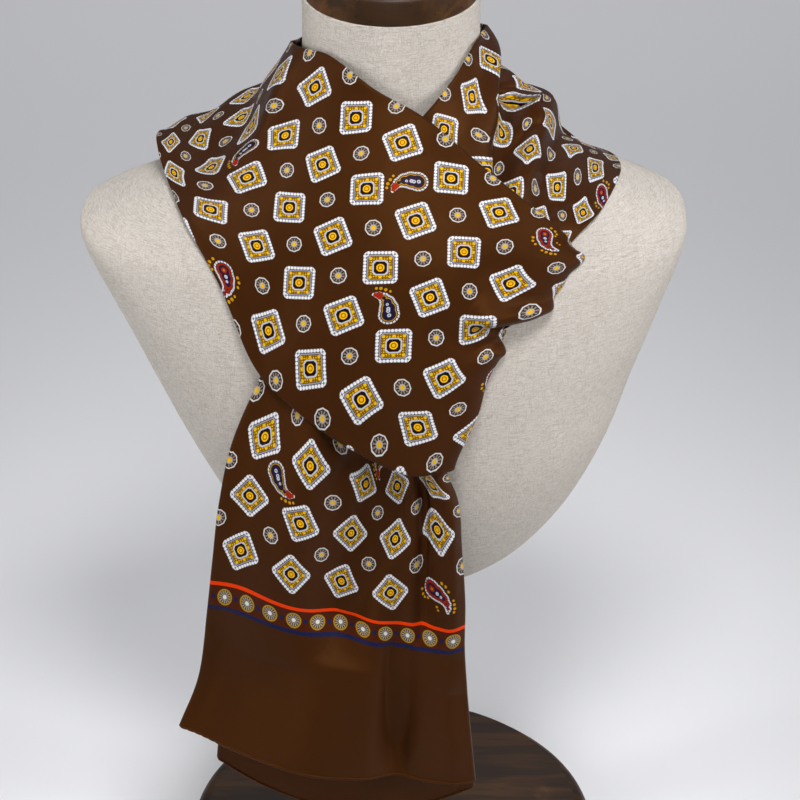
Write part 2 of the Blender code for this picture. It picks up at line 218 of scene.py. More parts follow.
UNDER_TAIL = (
    Section(6.9, 4.5, -22, -126, 474, 8, -127, 456, 30, -125, 436),
    Section(7.6, 4.5, -42, -125, 440, -3, -127, 421, 34, -124, 406),
    Section(8.6, 4.5, -76, -122, 396, -15, -127, 380, 41, -124, 370),
    Section(10.0, 4.5, -104, -126, 330, -26, -130, 312, 46, -126, 306),
    Section(11.6, 4.5, -118, -127, 260, -31, -132, 238, 51, -128, 232),
    Section(13.9, 4.5, -127, -127, 171, -35, -131, 128, 60, -128, 146),
)

# Folds, creases, slips and pulls of each stretch.

NECK_BACK_FOLDS = (
    Fold(-0.05, 0.0, -10.0, -2.4, 0.42, 5.0),
    Fold(0.65, -0.1, -10.0, -2.6, 0.36, -4.0),
    Fold(1.30, 0.1, -10.0, -2.4, 0.44, 6.0),
    Fold(2.00, 0.0, -9.6, -3.0, 0.34, -3.5),
)
CHEST_WRAP_FOLDS = (
    Fold(0.55, 0.5, -4.6, 0.2, 0.50, -4.0),
    Fold(1.40, 0.4, -4.6, -0.3, 0.50, 3.0),
    Fold(2.75, 0.0, -4.9, -0.4, 0.60, 6.0),
    Fold(1.70, 0.0, 4.7, 5.9, 0.34, 7.0),
    Fold(2.35, -0.1, 4.2, 5.8, 0.40, -4.5),
)
SHOULDER_BAND_FOLDS = (
    Fold(-0.37, 2.3, -3.6, 2.0, 0.36, -17.0),
    Fold(1.35, 0.8, -4.4, 1.5, 0.50, 11.0, -3.0),
    Fold(3.25, 0.1, -4.2, 0.9, 0.50, -9.0),
    Fold(-0.96, 2.65, -3.2, 2.2, 0.28, 4.0, 6.0),
)
FRONT_TAIL_FOLDS = (
    Fold(1.55, 0.3, 5.4, 10.4, 0.50, -7.0),
    Fold(2.45, 0.1, 5.6, 10.2, 0.42, 5.0),
    Fold(3.20, 0.0, 6.2, 13.6, 0.45, -6.0),
    Fold(0.45, 0.0, 6.4, 11.0, 0.55, 3.0),
)
UNDER_TAIL_FOLDS = (Fold(1.60, 0.2, 8.2, 13.0, 0.70, -3.0),)

CHEST_WRAP_SLIPS = (
    Slip(3.7, 3.7, 1.1, 2.0, 0.05, 0.21),
    Slip(2.9, -0.6, 1.1, 1.0, -0.28, 0.0),
    Slip(0.5, -1.3, 0.9, 0.7, 0.20, 0.36),
    Slip(4.2, 4.8, 0.6, 1.0, 0.15, 0.0),
    Slip(0.0, 5.1, 0.6, 0.8, 0.20, 0.0),
)
FRONT_TAIL_SLIPS = (
    Slip(0.3, 8.5, 1.35, 2.2, 0.06, 0.42),
    Slip(4.0, 7.2, 0.8, 1.2, 0.04, 0.45),
    Slip(2.3, 9.8, 1.3, 0.5, 0.0, 0.15),
    Slip(2.1, 6.9, 0.6, 0.7, -0.28, 0.0),
    Slip(4.6, 9.6, 0.9, 1.2, 0.0, 0.16),
)

CHEST_WRAP_CREASES = (
    Crease(-0.5, -1.1, 2.5, 0.0, 0.30, 0.42, 5.0),
    Crease(0.3, -2.1, 3.0, -0.9, 0.34, 0.46, -5.0),
    Crease(2.05, 4.9, 1.70, 6.6, 0.09, 0.17, -14.0),
    Crease(1.55, 5.2, 1.30, 6.6, 0.10, 0.14, 5.0),
    Crease(2.45, 5.3, 2.30, 6.6, 0.10, 0.14, 5.0),
    Crease(0.2, 1.1, 3.4, 0.6, 0.30, 0.45, 0.9),
    Crease(1.6, 2.4, 4.4, 1.6, 0.35, 0.50, -1.0),
    Crease(-0.3, 3.6, 2.2, 2.9, 0.32, 0.40, 0.8),
    Crease(2.8, 5.0, 4.6, 3.2, 0.30, 0.36, 1.2),
    Crease(0.4, 5.3, 1.4, 4.1, 0.22, 0.28, -1.3),
)
FRONT_TAIL_CREASES = (
    Crease(1.00, 4.9, 0.90, 10.6, 0.55, 0.70, 10.0),
    Crease(3.10, 3.8, 2.10, 10.4, 0.28, 0.55, -20.0),
    Crease(3.74, 3.8, 3.66, 10.0, 0.10, 0.15, -15.0),
    Crease(4.30, 3.8, 4.22, 10.8, 0.20, 0.30, 13.0),
    Crease(4.30, 4.0, 2.00, 7.9, 0.07, 0.16, -8.0),
    Crease(4.10, 3.9, 1.20, 7.0, 0.08, 0.18, 7.0),
    Crease(3.90, 3.9, 2.80, 8.4, 0.07, 0.13, -8.0),
    Crease(3.15, 9.8, 3.10, 13.0, 0.22, 0.34, -12.0),
    Crease(1.50, 9.6, 1.70, 14.2, 0.70, 0.85, 8.0),
    Crease(-0.25, 9.8, -0.25, 13.2, 0.36, 0.46, -6.0),
    Crease(4.10, 10.2, 4.20, 13.4, 0.30, 0.36, 6.0),
)
CHEST_WRAP_PULLS = (
    Pull(-0.55, 5.90, 0.24, 0.45, -8.0, 0.0, -3.0),
    Pull(0.05, 5.95, 0.42, 0.60, 9.0, 4.0, -1.0),
    Pull(0.90, 5.95, 0.50, 0.75, 9.0, 7.0, 0.0),
    Pull(1.45, 5.90, 0.30, 0.60, 5.0, 5.0, 0.0),
    Pull(2.15, 5.95, 0.30, 0.55, -9.0, 8.0, 0.0),
    Pull(2.90, 5.95, 0.60, 0.60, -6.0, 4.0, 0.0),
    Pull(4.60, 6.00, 0.90, 0.75, -2.0, 0.0, 9.0),
)
FRONT_TAIL_PULLS = (Pull(1.1, 13.2, 2.0, 1.7, 0.0, -12.0, 6.0),)
SHOULDER_BAND_PULLS = (
    Pull(0.30, -0.40, 0.36, 1.10, -2.0, -6.0, 0.0),
    Pull(0.92, -0.55, 0.22, 0.95, -10.0, 18.0, -12.0),
    Pull(1.12, -1.05, 0.13, 0.18, 0.0, 9.0, -10.0),
    Pull(2.80, -1.70, 0.85, 1.20, 0.0, 0.0, -14.0),
)
SHOULDER_BAND_SLIPS = (
    Slip(0.0, -1.0, 0.5, 0.7, 0.16, 0.12),
    Slip(1.1, -0.1, 0.40, 0.7, -0.24, 0.28),
    Slip(2.0, 0.0, 0.50, 0.7, 0.24, 0.0),
    Slip(4.1, -0.8, 0.9, 0.9, 0.26, -0.20),
    Slip(4.3, 0.5, 0.9, 0.9, -0.18, -0.28),
    Slip(2.9, -1.1, 0.6, 0.6, 0.12, 0.18),
    Slip(-0.1, 1.0, 0.5, 0.6, 0.12, 0.0),
)
SHOULDER_BAND_CREASES = (
    Crease(1.50, -1.7, 0.90, -0.5, 0.12, 0.15, 8.0),
    Crease(0.75, -1.5, 1.80, -0.7, 0.11, 0.14, 7.0),
    Crease(1.65, -0.7, 1.45, 0.9, 0.16, 0.20, -6.0),
    Crease(2.9, -1.4, 2.4, 0.9, 0.20, 0.26, -3.0),
    Crease(3.8, -0.9, 3.4, 1.4, 0.18, 0.22, 2.6),
)
NECK_BACK_CREASES = (
    Crease(0.2, -8.2, 1.1, -5.4, 0.16, 0.22, -1.6),
    Crease(2.2, -8.0, 1.5, -6.2, 0.20, 0.18, 1.4),
    Crease(1.8, -5.0, 0.9, -6.8, 0.18, 0.24, 1.5),
)
UNDER_TAIL_CREASES = (Crease(3.2, 9.0, 3.6, 13.6, 0.30, 0.50, 2.0),)


class FormLevel(NamedTuple):
    """One level of the form: half widths, depths and how square its outline is."""

    height: float
    left: float
    right: float
    front: float
    back: float
    squareness: float


NECK_TOP = 716.0
FORM_LEVELS = (
    FormLevel(255, 22, 24, 20, 20, 2.0),
    FormLevel(258, 37, 42, 32, 26, 2.0),
    FormLevel(263, 50, 58, 43, 32, 2.05),
    FormLevel(270, 63, 72, 54, 38, 2.1),
    FormLevel(280, 76, 87, 64, 44, 2.15),
    FormLevel(292, 89, 101, 73, 50, 2.2),
    FormLevel(309, 103, 116, 83, 56, 2.2),
    FormLevel(334, 121, 133, 94, 63, 2.25),
    FormLevel(366, 138, 149, 107, 73, 2.25),
    FormLevel(400, 154, 162, 116, 81, 2.3),
    FormLevel(440, 172, 174, 122, 89, 2.3),
    FormLevel(475, 187, 186, 124, 94, 2.35),
    FormLevel(503, 200, 195, 122, 96, 2.4),
    FormLevel(526, 211, 203, 117, 96, 2.45),
    FormLevel(545, 218, 207, 111, 94, 2.5),
    FormLevel(556, 216, 206, 107, 92, 2.45),
    FormLevel(564, 203, 200, 104, 90, 2.35),
    FormLevel(573, 180, 179, 100, 87, 2.25),
    FormLevel(583, 155, 154, 96, 84, 2.15),
    FormLevel(596, 129, 128, 89, 80, 2.1),
    FormLevel(609, 105, 104, 81, 75, 2.05),
    FormLevel(621, 87, 86, 73, 70, 2.0),
    FormLevel(634, 73, 72, 66, 65, 2.0),
    FormLevel(648, 65, 64, 62, 62, 2.0),
    FormLevel(664, 61.5, 61.5, 61, 61, 2.0),
    FormLevel(692, 60.5, 60.5, 60.5, 60.5, 2.0),
    FormLevel(NECK_TOP, 60.5, 60.5, 60.5, 60.5, 2.0),
)


class TurnedPoint(NamedTuple):
    """One step of a turned profile."""

    radius: float
    height: float


class Place(NamedTuple):
    """One paisley of the print: its place, the heading of its fat end, colour way and hand."""

    across: float
    strip: float
    heading: float
    motif: Motif
    hand: Hand

    def on_square(self) -> bool:
        """Tell whether it stands where a square would."""
        return self.across % 1.0 == 0.0


PAISLEYS = (
    Place(1.5, -0.5, 168.0, Motif.BLUE, Hand.RIGHT),
    Place(0.5, 2.5, 128.0, Motif.BLUE, Hand.RIGHT),
    Place(2.5, 3.5, 48.0, Motif.BLUE, Hand.RIGHT),
    Place(4.0, 1.0, 228.0, Motif.RED, Hand.LEFT),
    Place(0.0, 5.0, 218.0, Motif.RED, Hand.RIGHT),
    Place(3.0, 6.0, 203.0, Motif.RED, Hand.RIGHT),
    Place(4.5, -11.5, 133.0, Motif.RED, Hand.RIGHT),
    Place(0.5, -19.5, 132.0, Motif.BLUE, Hand.RIGHT),
    Place(2.5, -18.5, 52.0, Motif.BLUE, Hand.RIGHT),
    Place(4.0, -21.0, 152.0, Motif.RED, Hand.LEFT),
    Place(1.5, -5.5, 30.0, Motif.BLUE, Hand.LEFT),
    Place(0.0, -8.0, 150.0, Motif.RED, Hand.RIGHT),
    Place(2.5, 9.5, 70.0, Motif.BLUE, Hand.LEFT),
    Place(0.5, -15.5, 300.0, Motif.BLUE, Hand.RIGHT),
)


# ---- small helpers -------------------------------------------------------------------------


def srgb(red: float, green: float, blue: float) -> tuple[float, float, float, float]:
    """Turn a display colour of 0 to 255 into a linear one.

    Args:
        red: Red of the display colour.
        green: Green of the display colour.
        blue: Blue of the display colour.

    Returns:
        The linear colour with full alpha.
    """
    values = []
    for part in (red, green, blue):
        share = part / 255
        values.append(share / 12.92 if share <= 0.04045 else ((share + 0.055) / 1.055) ** 2.4)
    return (*values, 1.0)


def read_rows(rows: Sequence[NamedTuple], at: np.ndarray) -> np.ndarray:
    """Read every column of a table at values of its first column, on a smooth curve.

    Args:
        rows: The table, in the order of its first column.
        at: Where to read it.

    Returns:
        A row for each value, with the table's columns.
    """
    table = np.array(rows, float)
    keys = table[:, 0]
    last = len(keys) - 1
    span = np.clip(np.searchsorted(keys, at, side="left") - 1, 0, last - 1)
    before, after = np.maximum(span - 1, 0), np.minimum(span + 2, last)
    length = keys[span + 1] - keys[span]
    t = ((at - keys[span]) / length)[:, None]
    low, high = table[span], table[span + 1]
    slope_low = (high - table[before]) * (length / (keys[span + 1] - keys[before]))[:, None]
    slope_high = (table[after] - low) * (length / (keys[after] - keys[span]))[:, None]
    return (
        low * (1 + 2 * t) * (1 - t) ** 2
        + slope_low * t * (1 - t) ** 2
        + high * t * t * (3 - 2 * t)
        + slope_high * t * t * (t - 1)
    )


def unit(vectors: np.ndarray) -> np.ndarray:
    """Return vectors of length one."""
    return vectors / np.maximum(np.linalg.norm(vectors, axis=-1, keepdims=True), 1e-9)


def make_piece(
    name: str,
    points: np.ndarray,
    faces: Iterable[Sequence[int]],
    material: bpy.types.Material,
    uv: Optional[tuple[str, np.ndarray]] = None,
    sharp_degrees: float = 180.0,
) -> bpy.types.Object:
    """Make a smooth-shaded mesh object from points in millimetres.

    Args:
        name: Name of the piece.
        points: Its points, one in each row.
        faces: Its faces, as indices of points.
        material: Its finish.
        uv: Name of a UV layer and a (u, v) pair for each point.
        sharp_degrees: Angle above which an edge stays sharp.

    Returns:
        The linked object.
    """
    mesh = bpy.data.meshes.new(name)
    mesh.from_pydata((points * MM).tolist(), [], [list(face) for face in faces])
    mesh.materials.append(material)
    if uv is not None:
        layer = mesh.uv_layers.new(name=uv[0])
        corners = np.zeros(len(mesh.loops), np.int32)
        mesh.loops.foreach_get("vertex_index", corners)
        layer.data.foreach_set("uv", uv[1][corners].astype(np.float32).ravel())
    mesh.shade_smooth()
    if sharp_degrees < 180.0:
        mesh.set_sharp_from_angle(angle=math.radians(sharp_degrees))
    mesh.validate()
    item = bpy.data.objects.new(name, mesh)
    bpy.context.scene.collection.objects.link(item)
    return item


def ring_faces(rings: int, sides: int) -> list[list[int]]:
    """Return the faces of a closed body of stacked rings, with a cap on each end."""
    faces = [
        [i * sides + j, i * sides + (j + 1) % sides,
         (i + 1) * sides + (j + 1) % sides, (i + 1) * sides + j]
        for i in range(rings - 1)
        for j in range(sides)
    ]
    faces.append(list(range(sides))[::-1])
    faces.append([(rings - 1) * sides + j for j in range(sides)])
    return faces


def dress(
    item: bpy.types.Object, replaced: Sequence[str] = ()
) -> bpy.types.Object:
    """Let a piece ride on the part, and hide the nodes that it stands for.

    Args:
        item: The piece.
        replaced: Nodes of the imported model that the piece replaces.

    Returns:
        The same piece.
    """
    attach(item, ROOT)
    if replaced:
        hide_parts(*replaced)
    LOG.info("%s: %d faces", item.name, len(item.data.polygons))
    return item


# ---- shader fields -------------------------------------------------------------------------

Number = Union[int, float, "Field"]


class Field:
    """A number that varies over a surface: one socket of a node tree, with its arithmetic."""

    def __init__(self, tree: bpy.types.NodeTree, socket: bpy.types.NodeSocket) -> None:
        """Wrap a socket of a tree."""
        self.tree = tree
        self.socket = socket

    @staticmethod
    def constant(tree: bpy.types.NodeTree, number: float) -> "Field":
        """Return a field that is the same all over."""
        node = tree.nodes.new("ShaderNodeValue")
        node.outputs[0].default_value = number
        return Field(tree, node.outputs[0])

    def _math(self, operation: str, *others: Number) -> "Field":
        """Run a math node on this field and up to two other numbers.

        Args:
            operation: Name of the node's operation.
            others: The other numbers.

        Returns:
            The result.
        """
        node = self.tree.nodes.new("ShaderNodeMath")
        node.operation = operation
        for socket, value in zip(node.inputs, (self, *others)):
            if isinstance(value, Field):
                self.tree.links.new(value.socket, socket)
            else:
                socket.default_value = value
        return Field(self.tree, node.outputs[0])

    def __add__(self, other: Number) -> "Field":
        """Return the sum."""
        return self._math("ADD", other)

    def __sub__(self, other: Number) -> "Field":
        """Return the difference."""
        return self._math("SUBTRACT", other)

    def __mul__(self, other: Number) -> "Field":
        """Return the product."""
        return self._math("MULTIPLY", other)

    def __truediv__(self, other: Number) -> "Field":
        """Return the quotient."""
        return self._math("DIVIDE", other)

    def inverted(self) -> "Field":
        """Return one minus the field."""
        return (self * -1.0) + 1.0

    def size(self) -> "Field":
        """Return the absolute value."""
        return self._math("ABSOLUTE")

    def floor(self) -> "Field":
        """Return the whole number below."""
        return self._math("FLOOR")

    def fraction(self) -> "Field":
        """Return the part after the point."""
        return self._math("FRACT")

    def centred(self) -> "Field":
        """Return the distance from the middle of each unit, from -0.5 to 0.5."""
        return self.fraction() - 0.5

    def remainder(self, divisor: float) -> "Field":
        """Return what is left after division by a number, never negative."""
        return self._math("FLOORED_MODULO", divisor)

    def sine(self) -> "Field":
        """Return the sine."""
        return self._math("SINE")

    def cosine(self) -> "Field":
        """Return the cosine."""
        return self._math("COSINE")

    def smaller(self, other: Number) -> "Field":
        """Return the smaller of two numbers."""
        return self._math("MINIMUM", other)

    def larger(self, other: Number) -> "Field":
        """Return the larger of two numbers."""
        return self._math("MAXIMUM", other)

    def melted(self, other: Number, reach: float) -> "Field":
        """Return the smaller of two numbers, rounded where they are close."""
        return self._math("SMOOTH_MIN", other, reach)

    def below(self, limit: Number) -> "Field":
        """Return one where the field is less than a limit, and zero elsewhere."""
        return self._math("LESS_THAN", limit)

    def above(self, limit: Number) -> "Field":
        """Return one where the field is more than a limit, and zero elsewhere."""
        return self._math("GREATER_THAN", limit)

    def within(self, low: float, high: float) -> "Field":
        """Return one between two limits, and zero elsewhere."""
        return self.above(low) * self.below(high)

    def eased(self, low: float, high: float) -> "Field":
        """Step smoothly from zero at one limit to one at the other.

        Args:
            low: Value at which the step begins.
            high: Value at which it is full.

        Returns:
            The step.
        """
        node = self.tree.nodes.new("ShaderNodeMapRange")
        node.interpolation_type = "SMOOTHSTEP"
        self.tree.links.new(self.socket, node.inputs["Value"])
        node.inputs["From Min"].default_value = low
        node.inputs["From Max"].default_value = high
        return Field(self.tree, node.outputs["Result"])

    def angle(self, other: "Field") -> "Field":
        """Return the angle of the point (self, other) round the origin."""
        return other._math("ARCTAN2", self)

    def length(self, other: "Field") -> "Field":
        """Return the distance of the point (self, other) from the origin."""
        return (self * self + other * other)._math("SQRT")


class Tint(NamedTuple):
    """How a noise shows as colour: where it begins, where it is full, and how strong it is."""

    begins: float
    full: float
    strength: float


class Rates(NamedTuple):
    """How fast a noise changes along each coordinate, and how fine it is."""

    x: float
    y: float
    z: float = 0.0
    detail: float = 2.0
    roughness: float = 0.5
    distortion: float = 0.0


class Paint:
    """Colours laid over each other, each through a mask."""

    def __init__(self, tree: bpy.types.NodeTree, colour: Sequence[float]) -> None:
        """Start with one colour all over."""
        self.tree = tree
        self.start = tuple(colour)
        self.socket: Optional[bpy.types.NodeSocket] = None

    def lay(self, mask: Field, colour: Sequence[float]) -> "Paint":
        """Lay a colour where the mask is one.

        Args:
            mask: How much of the colour shows, from 0 to 1.
            colour: The linear colour with alpha.

        Returns:
            The same paint.
        """
        node = self.tree.nodes.new("ShaderNodeMix")
        node.data_type = "RGBA"
        self.tree.links.new(mask.socket, node.inputs[0])
        if self.socket is None:
            node.inputs[6].default_value = self.start
        else:
            self.tree.links.new(self.socket, node.inputs[6])
        node.inputs[7].default_value = tuple(colour)
        self.socket = node.outputs[2]
        return self

    def tint(self, noise: Field, tint: Tint, colour: Sequence[float]) -> "Paint":
        """Lay a colour where a noise is strong.

        Args:
            noise: The noise, from 0 to 1.
            tint: How it shows.
            colour: The linear colour with alpha.

        Returns:
            The same paint.
        """
        return self.lay(noise.eased(tint.begins, tint.full) * tint.strength, colour)


class Bench:
    """A material's node tree with the tools that the finishes share."""

    def __init__(self, name: str) -> None:
        """Start a new material with one Principled shader."""
        self.material = bpy.data.materials.new(name)
        self.material.use_nodes = True
        self.tree = self.material.node_tree
        self.shader = self.tree.nodes["Principled BSDF"]

    def uv(self, layer: str) -> tuple[Field, Field]:
        """Read a UV layer.

        Args:
            layer: Its name.

        Returns:
            Its two coordinates.
        """
        source = self.tree.nodes.new("ShaderNodeUVMap")
        source.uv_map = layer
        split = self.tree.nodes.new("ShaderNodeSeparateXYZ")
        self.tree.links.new(source.outputs[0], split.inputs[0])
        return Field(self.tree, split.outputs[0]), Field(self.tree, split.outputs[1])

    def place(self) -> tuple[Field, Field, Field]:
        """Return the object's own coordinates, in metres."""
        source = self.tree.nodes.new("ShaderNodeTexCoord")
        split = self.tree.nodes.new("ShaderNodeSeparateXYZ")
        self.tree.links.new(source.outputs["Object"], split.inputs[0])
        return tuple(Field(self.tree, split.outputs[i]) for i in range(3))

    def cloud(self, rates: Rates, x: Field, y: Field, z: Optional[Field] = None) -> Field:
        """Return a noise of 0 to 1 that is read at a point.

        Args:
            rates: How fast it changes, and how fine it is.
            x: First coordinate.
            y: Second coordinate.
            z: Third coordinate, if the noise has one.

        Returns:
            The noise.
        """
        join = self.tree.nodes.new("ShaderNodeCombineXYZ")
        for socket, value, rate in zip(join.inputs, (x, y, z), rates):
            if value is not None:
                self.tree.links.new((value * rate).socket, socket)
        node = self.tree.nodes.new("ShaderNodeTexNoise")
        node.inputs["Scale"].default_value = 1.0
        node.inputs["Detail"].default_value = rates.detail
        node.inputs["Roughness"].default_value = rates.roughness
        node.inputs["Distortion"].default_value = rates.distortion
        self.tree.links.new(join.outputs[0], node.inputs["Vector"])
        return Field(self.tree, node.outputs[0])

    def relief(self, height: Field, depth: float, strength: float = 1.0) -> None:
        """Raise the surface by a field of 0 to 1.

        Args:
            height: The relief.
            depth: Its depth in metres.
            strength: How much of it shows.
        """
        bump = self.tree.nodes.new("ShaderNodeBump")
        bump.inputs["Strength"].default_value = strength
        bump.inputs["Distance"].default_value = depth
        self.tree.links.new(height.socket, bump.inputs["Height"])
        self.tree.links.new(bump.outputs[0], self.shader.inputs["Normal"])

    def feed(self, name: str, source: Union[Field, Paint, float, Sequence[float]]) -> None:
        """Set one input of the shader, or link a field or paint to it.

        Args:
            name: The input's name.
            source: Its value, or what varies it.
        """
        if isinstance(source, (Field, Paint)):
            self.tree.links.new(source.socket, self.shader.inputs[name])
        else:
            self.shader.inputs[name].default_value = source


# ---- finishes ------------------------------------------------------------------------------


@dataclass(frozen=True)
class FoulardSquare:
    """A square medallion: bead rim, gold band, dark eye and yellow pupil.

    Its rings reach from its centre by shares of half its side, and so do its studs and specks.
    """

    side: float = 0.58  # repeats
    odd_turn: float = 34.0  # degrees
    even_turn: float = 56.0
    corner_cut: float = 1.78
    eye_corner_cut: float = 1.62
    bead_pitch: float = 0.2
    bead_radius: float = 0.45  # of the pitch
    rim_ends: float = 0.80
    line_begins: float = 0.775
    line_ends: float = 0.705
    gold_begins: float = 0.680
    speck_begins: float = 0.66
    speck_pitch: float = 0.15
    speck_radius: float = 0.30  # of the pitch
    corner_stud_at: float = 0.56
    corner_stud_radius: float = 0.095
    side_stud_at: float = 0.57
    side_stud_radius: float = 0.085
    ring_begins: float = 0.46
    eye_begins: float = 0.375
    pupil_radius: float = 0.235
    iris_inner: float = 0.10
    iris_outer: float = 0.150
    rim: tuple[float, ...] = srgb(104, 101, 106)
    bead: tuple[float, ...] = srgb(214, 214, 218)
    line: tuple[float, ...] = srgb(138, 138, 148)
    gap: tuple[float, ...] = srgb(34, 26, 30)
    gold: tuple[float, ...] = srgb(112, 76, 6)
    bright: tuple[float, ...] = srgb(212, 166, 16)
    ring: tuple[float, ...] = srgb(178, 178, 188)
    eye: tuple[float, ...] = srgb(12, 9, 16)
    pupil: tuple[float, ...] = srgb(220, 168, 14)
    iris: tuple[float, ...] = srgb(128, 66, 6)

    def paint(self, paint: Paint, u: Field, v: Field, free: Field) -> None:
        """Lay the squares, one at each whole place of the lattice.

        Args:
            paint: The colours so far.
            u: Across place.
            v: Strip place.
            free: One where squares may be printed.
        """
        cell_u, cell_v = (u + 0.5).floor(), (v + 0.5).floor()
        odd = (cell_u + cell_v + 0.25).remainder(2.0).above(1.0)
        turn = odd * math.radians(self.odd_turn - self.even_turn) + math.radians(self.even_turn)
        x, y = u - cell_u, v - cell_v
        cosine, sine = turn.cosine(), turn.sine()
        half = self.side / 2
        along = (x * cosine + y * sine) / half
        aside = (y * cosine - x * sine) / half
        reach_x, reach_y = along.size(), aside.size()
        longer, shorter = reach_x.larger(reach_y), reach_x.smaller(reach_y)
        edge = longer.larger((reach_x + reach_y) / self.corner_cut)
        inner = longer.larger((reach_x + reach_y) / self.eye_corner_cut)
        beads = self._dots(along, aside, self.bead_pitch).below(self.bead_radius)
        specks = self._dots(along, aside, self.speck_pitch).below(self.speck_radius)
        corner_studs = (reach_x - self.corner_stud_at).length(reach_y - self.corner_stud_at)
        side_studs = shorter.length(longer - self.side_stud_at)
        centre = along.length(aside)
        layers = (
            (edge.below(1.0), self.rim),
            (edge.below(1.0) * beads, self.bead),
            (edge.below(self.rim_ends), self.gap),
            (edge.below(self.line_begins), self.line),
            (edge.below(self.line_ends), self.gap),
            (edge.below(self.gold_begins), self.gold),
            (edge.below(self.speck_begins) * specks, self.bright),
            (corner_studs.below(self.corner_stud_radius), self.bright),
            (side_studs.below(self.side_stud_radius), self.bright),
            (inner.below(self.ring_begins), self.ring),
            (inner.below(self.eye_begins), self.eye),
            (centre.below(self.pupil_radius), self.pupil),
            (centre.within(self.iris_inner, self.iris_outer), self.iris),
        )
        for mask, colour in layers:
            paint.lay(mask * free, colour)

    @staticmethod
    def _dots(x: Field, y: Field, pitch: float) -> Field:
        """Return the distance from the nearest of evenly spaced dots, as a share of the pitch."""
        return (x / pitch).centred().length((y / pitch).centred())


@dataclass(frozen=True)
class SmallMedallion:
    """A round medallion of nine sides with spokes, between the squares.

    Its rings reach from its centre by shares of its radius.
    """

    radius: float = 0.147  # repeats
    sides: int = 9
    spokes: int = 11
    spoke_half_width: float = 0.27  # of a spoke's share of the turn
    rim_ends: float = 0.85
    spokes_begin: float = 0.75
    ring_begins: float = 0.41
    heart_begins: float = 0.26
    white: tuple[float, ...] = srgb(190, 188, 188)
    dark: tuple[float, ...] = srgb(38, 24, 16)
    petal: tuple[float, ...] = srgb(122, 112, 106)
    ring: tuple[float, ...] = srgb(158, 152, 144)
    heart: tuple[float, ...] = srgb(204, 158, 8)

    def paint(self, paint: Paint, x: Field, y: Field, free: Field) -> None:
        """Lay one medallion round the origin of the coordinates given.

        Args:
            paint: The colours so far.
            x: First coordinate from its centre.
            y: Second coordinate from its centre.
            free: One where medallions may be printed.
        """
        around = x.angle(y) / (2 * math.pi)
        facet = (around * float(self.sides)).centred() * (2 * math.pi / self.sides)
        distance = x.length(y)
        reach = distance * facet.cosine() / (self.radius * math.cos(math.pi / self.sides))
        spokes = (around * float(self.spokes)).centred().size().below(self.spoke_half_width)
        layers = (
            (reach.below(1.0), self.white),
            (reach.below(self.rim_ends), self.dark),
            (reach.below(self.spokes_begin) * spokes, self.petal),
            (reach.below(self.ring_begins), self.ring),
            (reach.below(self.heart_begins), self.heart),
        )
        for mask, colour in layers:
            paint.lay(mask * free, colour)


class NearPaisley(NamedTuple):
    """Coordinates in the paisley that is near, one where it is red, and one where it lies."""

    x: Field
    y: Field
    red: Field
    over_square: Field
    over_round: Field


class Drop(NamedTuple):
    """One round of a paisley: its centre and radius in repeats."""

    x: float
    y: float
    radius: float


